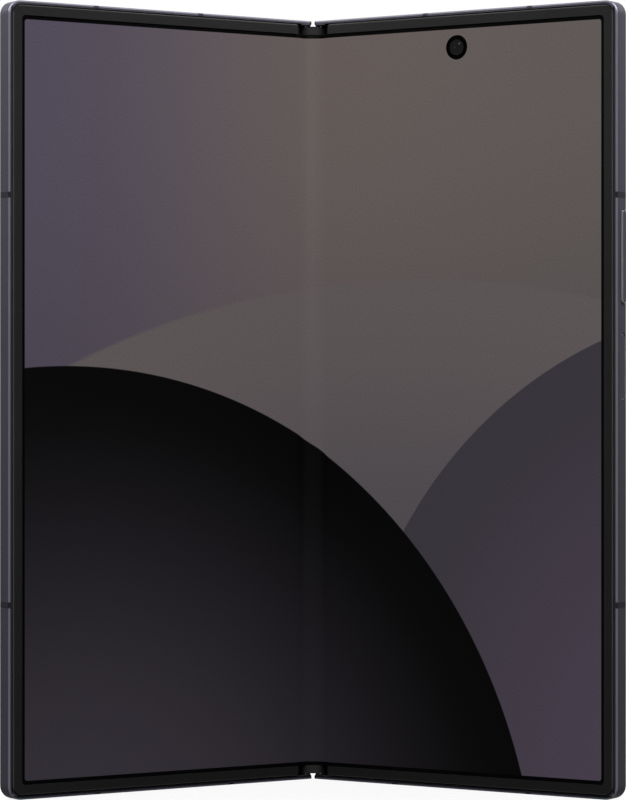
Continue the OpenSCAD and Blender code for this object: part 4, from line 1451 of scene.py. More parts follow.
@dataclass(frozen=True)
class WrappedCell(Finish):
    """A battery pouch in a matte wrap with a soft crinkle and folded edges."""

    fold: str = "3a3a40"
    fold_w: float = 0.05
    fold_share: float = 0.3
    crinkle_scale: tuple[float, float, float] = (0.35, 0.35, 0.22)
    crinkle_height: float = 0.05

    def paint(self, w: SurfaceWires) -> None:
        """Wires the crinkle of the wrap.

        Args:
            w: The material's wires.
        """
        crinkle = w.noise(w.stretched(w.mm, self.crinkle_scale), 1.0, detail=5.0, rough=0.6)
        fold = w.fall(w.size(w.minus(crinkle, 0.5)), 0.0, self.fold_w)
        colour = w.blend(w.times(fold, self.fold_share), tint(self.colour), tint(self.fold))
        self.surface(w, colour, w.times(crinkle, self.crinkle_height * MM))


@dataclass(frozen=True)
class WovenMesh(Finish):
    """A fine woven metal screen, dark between its wires."""

    pitch: float = 0.16
    gap: tuple[float, float, float, float] = (0.001, 0.001, 0.001, 1.0)
    gap_range: tuple[float, float] = (0.45, 0.6)
    gap_depth: float = 0.03

    def paint(self, w: SurfaceWires) -> None:
        """Wires a square weave.

        Args:
            w: The material's wires.
        """
        x, y, _ = w.split(w.mm)
        gaps = [w.fade(w.waves(place, self.pitch), *self.gap_range) for place in (x, y)]
        gap = w.times(*gaps)
        self.surface(w, w.blend(gap, tint(self.colour), self.gap), w.times(gap, -self.gap_depth * MM))


@dataclass(frozen=True)
class ClearGlass(Finish):
    """A clear cover with faint touch marks."""

    index: float = 1.1

    def paint(self, w: SurfaceWires) -> None:
        """Makes the shader see-through.

        Args:
            w: The material's wires.
        """
        w.skin["Transmission Weight"].default_value = 1.0
        w.skin["IOR"].default_value = self.index
        self.surface(w, tint(self.colour))


WORKS_STEEL = BrushedMetal("works_steel", "6f7176", 0.36, 1.0, specular=0.5)


# ---------------------------------------------------------------- dressing


def dress(finish: Finish, *nodes: str) -> None:
    """Gives CAD nodes a finish.

    Args:
        finish: The finish.
        nodes: Names of the nodes.
    """
    material = finish.make()
    for name in nodes:
        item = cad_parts[name]
        if not item.material_slots:
            item.data.materials.append(material)
        for slot in item.material_slots:
            slot.material = material
        LOG.info("dressed %s in %s", name, finish.name)


def coat(piece: bpy.types.Object, finish: Finish) -> None:
    """Gives a new piece its finish and reports it.

    Args:
        piece: The finished piece.
        finish: Its finish.
    """
    piece.data.materials.clear()
    piece.data.materials.append(finish.make())
    LOG.info("made %s, %d faces", piece.name, len(piece.data.polygons))


def settle(
    piece: bpy.types.Object, finish: Finish, body: str, replaced: tuple[str, ...] = ()
) -> None:
    """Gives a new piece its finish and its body.

    Args:
        piece: The finished piece.
        finish: Its finish.
        body: The CAD body that it rides on.
        replaced: The CAD nodes that it stands for.
    """
    coat(piece, finish)
    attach(piece, body)
    if replaced:
        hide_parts(*replaced)


# ---------------------------------------------------------------- sub-assemblies


def deep_edges(outer: float) -> Test:
    """Makes a test for edges that run from front to back at a piece's outer side.

    Args:
        outer: The outer side's distance from the centre plane.

    Returns:
        The test.
    """
    return lambda place, way: abs(way.y) > AIMED and abs(place.x) > outer - SAME


def edges_at(depth: float) -> Test:
    """Makes a test for edges that lie at a depth.

    Args:
        depth: Depth from the front.

    Returns:
        The test.
    """
    return lambda place, _way: abs(place.y - depth) < 0.002 * MM


@dataclass
class InnerDisplay:
    """The large folding display, its border and the plates behind it.

    Inside fold_half the display bends, and from full_u outwards it has its full
    thickness. Inside trim_u both its ends are cap_trim shorter, clear of the hinge's
    caps. The slices are the strips of each side's bend, and far_slices are lines that
    keep the flat faces short.
    """

    outer_u: float = 69.4 * MM
    low_z: float = 2.2 * MM
    high_z: float = 156.2 * MM
    corner_r: float = 0.9 * MM
    corner_segments: int = 8
    front_t: float = 0.3 * MM
    back_t: float = 0.75 * MM
    fold_back_t: float = 0.6 * MM
    fold_half: float = 4.0 * MM
    full_u: float = 6.0 * MM
    cap_trim: float = 0.75 * MM
    trim_u: float = 3.5 * MM
    slices: int = 16
    far_slices: tuple[float, ...] = (9.0 * MM, 14.0 * MM, 22.0 * MM, 46.0 * MM, 58.0 * MM)
    camera: tuple[float, float] = (34.8 * MM, 151.0 * MM)
    hole_r: float = 2.525 * MM
    hole_t: tuple[float, float] = (-2 * MM, 3 * MM)
    hole_bevel: float = 0.04 * MM
    edge_bevel: float = 0.05 * MM
    rim_reach: float = 0.3 * MM
    flat_share: float = 0.99
    screen: FlexibleScreen = FlexibleScreen(
        "flexible_screen",
        "020202",
        0.34,
        specular=0.012,
        grain=0.06,
        relief=0.0006,
        mottling=0.1,
        touch=0.12,
    )
    # The bezel gets a painted highlight along its outer edge.
    rubber: MouldedPlastic = MouldedPlastic(
        "bezel_rubber", "191919", 0.62, specular=0.02, grain=0.05, relief=0.006, rubbed="3a3a3a", edge=0.9
    )
    plate: BrushedMetal = BrushedMetal("plate_steel", "6d6f74", 0.42, 1.0, specular=0.5)

    def skin(self, side: Side) -> bpy.types.Object:
        """Models one side of the display, from the fold to its outer edge.

        Args:
            side: Which half.

        Returns:
            The piece, bent to the rest pose.
        """
        sign = side.value
        bench = Bench(f"display_skin_{side.word}")
        bench.block((0, self.front_t, self.low_z), (sign * self.outer_u, self.back_t, self.high_z))
        bench.bevel(deep_edges(self.outer_u), self.corner_r, self.corner_segments)
        if side is Side.RIGHT:
            bench.cut(Bench("hole").drum(self.camera, self.hole_r, *self.hole_t))
            bench.bevel(self._hole_edge, self.hole_bevel)
        bench.bevel(self._outer_edge, self.edge_bevel)
        for step in range(1, self.slices + 1):
            bench.score(sign * self.fold_half * step / self.slices)
        for far in (self.full_u, *self.far_slices):
            bench.score(sign * far)
        bench.finish()
        for face in bench.piece.data.polygons:
            if abs(face.normal.y) > self.flat_share and abs(face.center.x) > self.fold_half:
                face.use_smooth = False
        bench.shape(self._trim)
        self._unroll(bench.piece)
        bench.shape(lambda point: self._bend(point, side))
        return bench.piece

    def _hole_edge(self, place: Vector, _way: Vector) -> bool:
        """Says whether an edge runs round the camera hole at the front."""
        away = math.hypot(place.x - self.camera[0], place.z - self.camera[1])
        return abs(place.y - self.front_t) < SAME and away < self.hole_r + 2 * SAME

    def _outer_edge(self, place: Vector, _way: Vector) -> bool:
        """Says whether an edge runs along the outline at the front.

        Args:
            place: Middle of the edge.
            _way: Its direction, which doesn't matter.

        Returns:
            True for an edge of the outline.
        """
        if abs(place.y - self.front_t) > SAME:
            return False
        rim = min(self.outer_u - abs(place.x), place.z - self.low_z, self.high_z - place.z)
        return rim < self.rim_reach and abs(place.x) > SAME

    def _trim(self, point: Vector) -> Vector:
        """Shortens the fold at both ends, where the hinge's caps stand.

        Args:
            point: A point of the flat display.

        Returns:
            The moved point.
        """
        share = min(1.0, max(0.0, (self.fold_half - abs(point.x)) / (self.fold_half - self.trim_u)))
        inward = 1 if point.z < BODY_H / 2 else -1
        return Vector((point.x, point.y, point.z + inward * share * self.cap_trim))

    def _unroll(self, piece: bpy.types.Object) -> None:
        """Writes UVs from the flat shape, so the picture bends with the display.

        Args:
            piece: The flat piece.
        """
        sheet = self.screen.sheet * MM
        layer = piece.data.uv_layers.active or piece.data.uv_layers.new(name="picture")
        for loop in piece.data.loops:
            point = piece.data.vertices[loop.vertex_index].co
            layer.data[loop.index].uv = (point.x / sheet + 0.5, point.z / sheet)

    def _bend(self, point: Vector, side: Side) -> Vector:
        """Thins the fold from behind, and bends a flat point to the rest pose.

        Args:
            point: A point of the flat display.
            side: Which half.

        Returns:
            The point in the row's frame.
        """
        u = abs(point.x)
        share = min(1.0, u / self.fold_half)
        share = share * share * (3 - 2 * share)
        t = point.y
        if abs(t - self.back_t) < SAME:
            full = min(1.0, max(0.0, (u - self.fold_half) / (self.full_u - self.fold_half)))
            t = self.fold_back_t + full * (self.back_t - self.fold_back_t)
        return HINGE.point(side, u, t, point.z, share)

    def build(self) -> None:
        """Makes both sides and dresses the border and the plates."""
        stood_for = {Side.LEFT: ("left_display", "display_fold_zone"), Side.RIGHT: ("right_display",)}
        for side in Side:
            piece = self.skin(side)
            coat(piece, self.screen)
            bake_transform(piece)
            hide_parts(*stood_for[side])
        dress(self.rubber, "left_bezel", "right_bezel")
        dress(self.plate, "left_display_plate", "right_display_plate")


@dataclass
class FrontCamera:
    """The camera behind the round hole of the inner display.

    The steps are the lens's insets from its edge inwards, as width and depth in mm.
    """

    centre: tuple[float, float] = (34.8 * MM, 151.0 * MM)
    lens_r: float = 1.7 * MM
    front_t: float = 0.36 * MM
    back_t: float = 0.485 * MM
    steps: tuple[tuple[float, float], ...] = (
        (0.12, 0.0),
        (0.10, -0.03),
        (0.16, 0.0),
        (0.08, -0.02),
        (0.20, 0.012),
        (0.22, 0.014),
        (0.22, 0.010),
        (0.2, 0.004),
    )
    barrel: Finish = Finish("camera_barrel", "020202", 0.6, specular=0.0, relief=0.002, mottling=0.2)
    lens: LensGlass = LensGlass(
        "front_lens_glass",
        "040404",
        0.12,
        specular=0.01,
        mottling=0.1,
        relief=0.0,
        u=34.8,
        z=151.0,
        rings=((1.64, "121212"), (1.3, "0f100f"), (1.0, "111211"), (0.5, "0f0f11")),
        glint="33404a",
        glint_at=(0.6, 0.74),
        glint_r=0.36,
        flare="2a1826",
        flare_at=(-0.35, 0.0),
        coat=0.0,
    )

    def build(self) -> None:
        """Makes the domed lens and dresses the barrel."""
        bench = Bench("front_lens").drum(self.centre, self.lens_r, self.front_t, self.back_t)
        bench.steps(middle(self.centre, -1), self.steps)
        settle(bench.finish(HINGE.place(Side.RIGHT)), self.lens, Side.RIGHT.body)
        dress(self.barrel, "inner_camera")


@dataclass
class MetalHalves:
    """The two aluminium frames with their seals, plastic lines, keys and card tray.

    Each lip is a name, its spans in distance, depth and height in mm, and its finish.
    """

    rim_w: float = 0.71 * MM
    rim_r: float = 2.09 * MM
    seal_in: float = 0.89 * MM
    seal_r: float = 1.91 * MM
    seal_t: tuple[float, float] = (0.34 * MM, 0.7 * MM)
    cut_t: tuple[float, float] = (-1 * MM, 3 * MM)
    seal_bevel: float = 0.03 * MM
    lip_bevel: float = 0.04 * MM
    corner_segments: int = 8
    end_u: float = 4.6 * MM
    # Near-black rubber; in the border seal it also stands in for the shade in the gap.
    rubber: Finish = Finish("seal_rubber", "050506", 0.7, specular=0.02, relief=0.004)
    metal: AnodisedMetal = AnodisedMetal(
        "anodised_metal", "34333a", 0.4, 0.06, specular=0.01, grain=0.07, relief=0.004, mottling=0.12
    )
    key: KeyMetal = KeyMetal(
        "key_metal", "34333a", 0.36, 0.08, specular=0.02, grain=0.07, relief=0.003, mottling=0.12
    )
    line: MouldedPlastic = MouldedPlastic("antenna_line", "1f1e23", 0.55, specular=0.02, rubbed="34333a")

    def _plate(self, bench: Bench, side: Side, inset: float, start: float, radius: float) -> Bench:
        """Makes a plate with round outer corners that lies inside the half's outline.

        Args:
            bench: An empty bench.
            side: Which half.
            inset: Distance from the outline.
            start: Distance from the centre plane.
            radius: Radius of the corners.

        Returns:
            The bench.
        """
        near, far = self.seal_t if start else self.cut_t
        sign = side.value
        bench.block((sign * start, near, inset), (sign * (HALF_W - inset), far, BODY_H - inset))
        return bench.bevel(deep_edges(HALF_W - inset), radius, self.corner_segments)

    def _seal(self, side: Side) -> None:
        """Makes the rubber seal in the gap round the display's border; its near-black colour also stands
        in for the shade down in that gap.

        Args:
            side: Which half.
        """
        bench = self._plate(Bench(f"rim_seal_{side.word}"), side, self.rim_w, self.end_u, self.rim_r)
        bench.cut(self._plate(Bench("inner"), side, self.seal_in, 0.0, self.seal_r))
        bench.bevel(edges_at(self.seal_t[0]), self.seal_bevel)
        settle(bench.finish(HINGE.place(side)), self.rubber, side.body)

    def _lip(self, side: Side) -> None:
        """Makes the thicker edge and its seal where the frame meets the hinge.

        Args:
            side: Which half.
        """
        rows = (
            ("lip_edge", (0.8, 3.0), (0.03, 0.9), (0.7, 0.93), self.metal),
            ("lip_seal", (0.84, 3.0), (0.16, 0.95), (0.94, 1.14), self.rubber),
        )
        for name, across, depth, height, finish in rows:
            low, high = [
                (side.value * u * MM, t * MM, z * MM) for u, t, z in zip(across, depth, height)
            ]
            bench = Bench(f"{name}_{side.word}").block(low, high)
            bench.bevel(edges_at(depth[0] * MM), self.lip_bevel)
            bench.repeat([(0, 0, BODY_H - sum(height) * MM)])
            settle(bench.finish(HINGE.place(side)), finish, side.body)

    def build(self) -> None:
        """Makes the seals and lips, and dresses the frames, the lines, the keys and the tray."""
        for side in Side:
            self._seal(side)
            self._lip(side)
        dress(self.metal, "left_frame", "right_frame", "card_tray")
        dress(self.key, "volume_key", "side_key")
        dress(self.line, "left_antenna_bands", "right_antenna_bands")


@dataclass
class BackPanels:
    """The cover display on the left half and the glass on the right half."""

    cover: GlossGlass = GlossGlass(
        "cover_display_glass",
        "060608",
        0.12,
        specular=0.12,
        relief=0.0,
        mottling=0.1,
        touch=0.1,
        coat=0.1,
        flecks=0.0,
        marks=((54.0, 149.0, 2.05, "020202"), (54.0, 149.0, 1.6, "0d0d10"), (54.0, 149.0, 0.75, "030305")),
    )
    glass: GlossGlass = GlossGlass(
        "back_glass",
        "2f2e36",
        0.46,
        specular=0.2,
        grain=0.12,
        relief=0.003,
        mottling=0.1,
        coat=0.08,
        flecks=0.35,
    )
    panel: Finish = Finish("cover_panel", "101014", 0.4)

    def build(self) -> None:
        """Dresses the two panels and the display behind the cover glass."""
        dress(self.cover, "cover_display_glass")
        dress(self.glass, "back_glass")
        dress(self.panel, "cover_display_panel", "cover_camera")


@dataclass
class RearCameras:
    """The raised island with three cameras, and the flash beside it.

    The steps are a lens's insets from its edge inwards, as width and depth in mm. Two of
    them are shelves, which are widened by each camera's own factor.
    """

    u: float = 60.0 * MM
    heights: tuple[float, ...] = (145.0 * MM, 126.5 * MM, 108.0 * MM)
    shelf_steps: tuple[int, int] = (2, 4)
    shelf_factors: tuple[float, ...] = (1.0, 1.0, 1.25)
    steps: tuple[tuple[float, float], ...] = (
        (0.62, 0.0),
        (0.10, -0.12),
        (0.5, 0.0),
        (0.08, -0.08),
        (0.42, 0.0),
        (0.06, -0.05),
        (0.25, 0.0),
        (0.12, 0.05),
        (0.30, 0.06),
        (0.40, 0.05),
        (0.45, 0.03),
        (0.45, 0.01),
    )
    glints: tuple[str, ...] = ("24306a", "1f4a4a", "4a2a5a")
    lens_r: float = 5.24 * MM
    lens_t: tuple[float, float] = (5.5 * MM, 5.84 * MM)
    cover_r: float = 5.22 * MM
    cover_t: tuple[float, float] = (5.87 * MM, 5.93 * MM)
    cover_bevel: float = 0.03 * MM
    round_sides: int = 96
    flash: tuple[float, float] = (47.8 * MM, 145.0 * MM)
    flange_r: float = 2.7 * MM
    flange_t: tuple[float, float] = (3.3 * MM, 3.55 * MM)
    flange_w: float = 0.5 * MM
    flash_rise: float = 0.62 * MM
    flash_steps: tuple[tuple[float, float], ...] = ((0.12, 0.02), *((0.16, -0.09), (0.20, 0.08)) * 4)
    island: AnodisedMetal = AnodisedMetal(
        "island_metal", "3f3e45", 0.36, 0.35, specular=0.05, grain=0.07, mottling=0.1, wear=0.0
    )
    module: Finish = Finish("camera_module_black", "0a0a0b", 0.5, specular=0.2)
    warm: Finish = Finish(
        "flash_phosphor", "e6dcae", 0.32, specular=0.4, grain=0.12, relief=0.002, mottling=0.2
    )
    clear: ClearGlass = ClearGlass(
        "clear_cover", "f4f6f8", 0.02, relief=0.0, mottling=0.02, touch=0.05, specular=0.4
    )

    def _stack(self, number: int) -> None:
        """Makes one camera's stepped baffles, its domed front element and its clear cover.

        Args:
            number: Which camera, from the top.
        """
        z = self.heights[number - 1]
        centre = (self.u, z)
        bench = Bench(f"rear_lens_{number}").drum(centre, self.lens_r, *self.lens_t, self.round_sides)
        factor = self.shelf_factors[number - 1]
        rows = [
            (width * factor if step in self.shelf_steps else width, depth)
            for step, (width, depth) in enumerate(self.steps)
        ]
        bench.steps(middle(centre, 1), rows)
        lens = LensGlass(
            f"rear_lens_glass_{number}",
            "08080a",
            0.22,
            specular=0.08,
            mottling=0.1,
            relief=0.0,
            u=self.u / MM,
            z=z / MM,
            rings=((4.6, "101012"), (4.5, "060607"), (3.9, "0e0e11"), (2.4, "07070b"), (1.35, "030308")),
            glint=self.glints[number - 1],
            glint_at=(0.5, 0.7),
            glint_r=1.1,
            coat=0.06,
        )
        piece = bench.finish(HINGE.place(Side.RIGHT))
        settle(piece, lens, Side.RIGHT.body, ("camera_lenses",) if number == 1 else ())
        cover = Bench(f"rear_cover_{number}").drum(centre, self.cover_r, *self.cover_t, self.round_sides)
        cover.bevel(edges_at(self.cover_t[1]), self.cover_bevel)
        settle(cover.finish(HINGE.place(Side.RIGHT)), self.clear, Side.RIGHT.body)

    def _flash(self) -> None:
        """Makes the ribbed lens of the flash over its flange."""
        bench = Bench("flash_ribs").drum(self.flash, self.flange_r, *self.flange_t)
        at_middle = middle(self.flash, 1)
        bench.inset(at_middle, self.flange_w)
        bench.extrude(at_middle, self.flash_rise)
        bench.steps(at_middle, self.flash_steps)
        settle(
            bench.finish(HINGE.place(Side.RIGHT)), self.warm, Side.RIGHT.body, ("flash_lens",)
        )

    def build(self) -> None:
        """Makes the lenses and the flash, and dresses the island and its rings."""
        for number in range(1, len(self.heights) + 1):
            self._stack(number)
        self._flash()
        centres = tuple((self.u / MM, z / MM) for z in self.heights)
        rings = TurnedMetal("ring_metal", "55545c", 0.26, 0.9, specular=0.4, relief=0.001, centres=centres)
        dress(self.island, "camera_island")
        dress(rings, "camera_rings")
        dress(self.module, "camera_modules")


@dataclass
class Ports:
    """The contacts in the charging port and the meshes behind the sound holes."""

    port_u: float = 38.0 * MM
    port_t: float = 2.2 * MM
    tongue_half_t: float = 0.35 * MM
    contacts: int = 12
    contact_first: float = -2.88 * MM
    contact_pitch: float = 0.5 * MM
    contact_w: float = 0.26 * MM
    contact_t: float = 0.03 * MM
    contact_z: tuple[float, float] = (1.9 * MM, 4.6 * MM)
    contact_bevel: float = 0.01 * MM
    speaker_u: float = 60.5 * MM
    earpiece_u: float = 38.0 * MM
    holes: int = 6
    hole_pitch: float = 2.0 * MM
    mesh_r: float = 0.47 * MM
    mesh_z: tuple[float, float] = (0.9 * MM, 1.05 * MM)
    mesh_rim: tuple[float, float] = (0.08 * MM, -0.02 * MM)
    gold: Finish = Finish("contact_gold", "d0a24a", 0.28, 1.0, specular=0.5, mottling=0.2)
    weave: WovenMesh = WovenMesh("speaker_mesh", "1c1c1f", 0.5, 0.6, specular=0.3)
    shell: BrushedMetal = BrushedMetal("port_shell", "77787d", 0.35, 1.0, specular=0.5)

    def _contacts(self, row: str, sign: int) -> None:
        """Makes one row of contacts on the tongue of the port.

        Args:
            row: Name of the row.
            sign: -1 for the row nearer the display, 1 for the other.
        """
        face = self.port_t + sign * self.tongue_half_t
        outer = face + sign * self.contact_t
        first = self.port_u + self.contact_first
        bench = Bench(f"port_contacts_{row}")
        bench.block((first, face, self.contact_z[0]), (first + self.contact_w, outer, self.contact_z[1]))
        bench.bevel(edges_at(outer), self.contact_bevel)
        bench.repeat([(self.contact_pitch * step, 0, 0) for step in range(1, self.contacts)])
        settle(bench.finish(HINGE.place(Side.RIGHT)), self.gold, Side.RIGHT.body)

    def _mesh(self, name: str, side: Side, centre_u: float, low: float, high: float) -> None:
        """Makes the woven discs behind one row of sound holes.

        Args:
            name: Name of the piece.
            side: Which half.
            centre_u: Distance of the row's middle from the centre plane.
            low: Height of the discs' lower faces.
            high: Height of their upper faces.
        """
        pitch = side.value * self.hole_pitch
        first = side.value * centre_u - pitch * (self.holes - 1) / 2
        bench = Bench(name).post((first, BODY_T / 2), self.mesh_r, low, high)
        for way in (-1, 1):
            bench.inset(facing(2, way), *self.mesh_rim)
        bench.repeat([(pitch * step, 0, 0) for step in range(1, self.holes)])
        settle(bench.finish(HINGE.place(side)), self.weave, side.body)

    def build(self) -> None:
        """Makes the contacts and the meshes, and dresses the port's shell."""
        self._contacts("front", -1)
        self._contacts("back", 1)
        low, high = self.mesh_z
        self._mesh("speaker_mesh_low", Side.RIGHT, self.speaker_u, low, high)
        self._mesh("speaker_mesh_high", Side.LEFT, self.earpiece_u, BODY_H - high, BODY_H - low)
        dress(self.shell, "usb_socket")


@dataclass
class SpineWorks:
    """The spine with its caps, gears, arms, springs and the flexible circuit.

    The path is the circuit's, as distance and depth in mm. Up to spine_end it keeps to
    the spine, and from turned_from on it lies in a half; spine_end is not used. The tail is its end on a
    board.
    """

    flex_z: tuple[float, float] = (111.7 * MM, 123.7 * MM)
    flex_t: float = 0.12 * MM
    path: tuple[tuple[float, float], ...] = (
        (0.0, 2.35),
        (1.1, 2.1),
        (2.2, 1.35),
        (3.45, 1.92),
        (4.6, 1.92),
        (9.5, 1.92),
    )
    spine_end: int = 1
    turned_from: int = 3
    tail: float = 1.2 * MM
    amber: AmberFlex = AmberFlex("amber_circuit", "6a3d18", 0.4, specular=0.35)
    cap: CapPlastic = CapPlastic("hinge_cap", "262626", 0.5, specular=0.02, grain=0.05, relief=0.003)
    cover: BrushedMetal = BrushedMetal("spine_metal", "3d3c43", 0.4, 0.75, specular=0.3, relief=0.003)
    gear: Finish = Finish("gear_steel", "7c7e84", 0.3, 1.0, specular=0.5, relief=0.003, mottling=0.3)
    screw: Finish = Finish("screw_black", "141416", 0.4, 0.6, specular=0.4, relief=0.002)

    def _line(self) -> list[tuple[float, float]]:
        """Gives the path in metres at the rest pose, seen from the spine.

        Returns:
            The distance and depth of each turning point.
        """
        line = [(u * MM, t * MM) for u, t in self.path]
        for step in range(self.turned_from, len(line)):
            line[step] = HINGE.turned(*line[step], HINGE.fold)
        return line

    def _ribbon(self, side: Side) -> None:
        """Makes one side of the flexible circuit, from the spine to its board.

        Args:
            side: Which half.
        """
        line = self._line()
        marks = [0.0]
        for a, b in zip(line, line[1:]):
            marks.append(marks[-1] + math.dist(a, b))
        sign = side.value
        bench = Bench(f"hinge_circuit_{side.word}")
        bench.block((0, 0, self.flex_z[0]), (sign * marks[-1], self.flex_t, self.flex_z[1]))
        for mark in (*marks[1:-1], marks[-1] - self.tail):
            bench.score(sign * mark)

        def follow(point: Vector) -> Vector:
            """Puts a point of the flat ribbon on its path.

            Args:
                point: A point of the flat ribbon.

            Returns:
                The point in the row's frame.
            """
            gone = abs(point.x)
            step = max(i for i, mark in enumerate(marks[:-1]) if gone >= mark - 1e-9)
            share = (gone - marks[step]) / (marks[step + 1] - marks[step])
            u, t = [a + share * (b - a) for a, b in zip(line[step], line[step + 1])]
            return Vector((sign * u, t + point.y + HINGE.centre_y, point.z))

        bench.shape(follow)
        piece = bench.finish()
        coat(piece, self.amber)
        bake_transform(piece)
        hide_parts("hinge_flex")

    def build(self) -> None:
        """Makes the ribbons and dresses the metal works."""
        for side in Side:
            self._ribbon(side)
        dress(self.cap, "hinge_cap_bottom", "hinge_cap_top")
        dress(self.cover, "spine_cover")
        dress(WORKS_STEEL, "spine_core", "rail_housing_bottom", "rail_housing_top")
        dress(WORKS_STEEL, "left_swing_arms", "right_swing_arms")
        dress(self.gear, "left_sync_shafts", "right_sync_shafts", "left_idlers", "right_idlers")
        dress(self.gear, "detent_springs")
        dress(self.screw, "spine_screws", "left_bracket_screws", "right_bracket_screws")


@dataclass
class WingPlates:
    """The plates under the fold, with a notch that leaves room for the flexible circuit.

    The pivot and the lug are each a pair: distance and depth of the pins, and width and
    height of the thicker corners that carry them.
    """

    tip_u: float = 2.0 * MM
    pivot: tuple[float, float] = (5.5 * MM, 1.58 * MM)
    near_t: float = 1.0 * MM
    thick: float = 0.15 * MM
    ends: tuple[float, float] = (30.5 * MM, 127.9 * MM)
    lug: tuple[float, float] = (0.4 * MM, 1.5 * MM)
    pin_r: float = 0.25 * MM
    pin_len: float = 1.0 * MM
    notch_u: float = 3.8 * MM
    notch_t: float = 3 * MM
    notch_z: tuple[float, float] = (111.2 * MM, 124.2 * MM)
    tilt: float = 0.222 * HINGE.fold

    def _tilted(self, point: Vector, side: Side) -> Vector:
        """Turns a flat point about the plate's own pins."""
        u, t = turn(abs(point.x), point.y, self.pivot, self.tilt)
        return Vector((side.value * u, t, point.z))

    def _in_lug(self, place: Vector, way: Vector) -> bool:
        """Says whether a face of the plate's back carries a lug."""
        near_end = min(place.z - self.ends[0], self.ends[1] - place.z) < self.lug[1]
        return way.y > AIMED and abs(place.x) > self.pivot[0] - self.lug[0] and near_end

    def _plate(self, side: Side) -> None:
        """Makes one plate with its lugs and its notch.

        Args:
            side: Which half.
        """
        sign = side.value
        low, high = self.ends
        back = self.near_t + self.thick
        bench = Bench(f"wing_sheet_{side.word}")
        bench.block((sign * self.tip_u, self.near_t, low), (sign * self.pivot[0], back, high))
        bench.score(sign * (self.pivot[0] - self.lug[0]))
        for level in (low + self.lug[1], high - self.lug[1]):
            bench.score(level, 2)
        bench.extrude(self._in_lug, self.pivot[1] - back)
        start, end = sign * (self.tip_u - 1 * MM), sign * self.notch_u
        bench.cut(Bench("notch").block((start, 0, self.notch_z[0]), (end, self.notch_t, self.notch_z[1])))
        bench.shape(lambda point: self._tilted(point, side))
        piece = bench.finish(HINGE.place(side))
        settle(piece, WORKS_STEEL, f"{side.word}_wing", (f"{side.word}_wing_plate",))

    def _pins(self, side: Side) -> None:
        """Makes the two pins that the plate turns on.

        Args:
            side: Which half.
        """
        low, high = self.ends
        start = low - self.pin_len
        bench = Bench(f"wing_pins_{side.word}")
        bench.post((side.value * self.pivot[0], self.pivot[1]), self.pin_r, start, low - SAME)
        bench.repeat([(0, 0, high + SAME - start)])
        settle(bench.finish(HINGE.place(side)), WORKS_STEEL, f"{side.word}_wing")

    def build(self) -> None:
        """Makes both plates and their pins."""
        for side in Side:
            self._plate(side)
            self._pins(side)


@dataclass
class Insides:
    """What is sealed inside the two halves."""

    cell: WrappedCell = WrappedCell("cell_wrap", "17171a", 0.55, specular=0.3)
    board: CircuitBoard = CircuitBoard("circuit_board", "12301f", 0.45)
    coil: WoundCopper = WoundCopper("wound_copper", "a8622e", 0.35, 0.9, specular=0.5)
    shield: BrushedMetal = BrushedMetal("shield_steel", "85878c", 0.34, 1.0, specular=0.5)
    magnet: Finish = Finish("magnet_nickel", "8d8c88", 0.3, 1.0, specular=0.5)
    speaker: Finish = Finish("speaker_plastic", "121214", 0.55, specular=0.25)

    def build(self) -> None:
        """Dresses every inner node."""
        dress(self.cell, "left_battery", "right_battery")
        dress(self.board, "left_board", "main_board", "lower_board")
        dress(self.coil, "charging_coil")
        dress(self.shield, "board_shields", "card_socket", "vibration_motor")
        dress(self.magnet, "left_magnets", "right_magnets")
        dress(self.speaker, "earpiece_speaker", "bottom_speaker", "key_switches")


# ---------------------------------------------------------------- studio


@dataclass(frozen=True)
class Lamp:
    """One soft square lamp that looks at a point."""

    name: str
    place: tuple[float, float, float]
    target: tuple[float, float, float]
    size: float
    power: float

    def build(self) -> None:
        """Adds the lamp."""
        data = bpy.data.lights.new(self.name, "AREA")
        data.shape = "SQUARE"
        data.size = self.size
        data.energy = self.power
        lamp = bpy.data.objects.new(self.name, data)
        bpy.context.scene.collection.objects.link(lamp)
        way = Vector(self.target) - Vector(self.place)
        lamp.location = self.place
        lamp.rotation_euler = way.to_track_quat("-Z", "Y").to_euler()


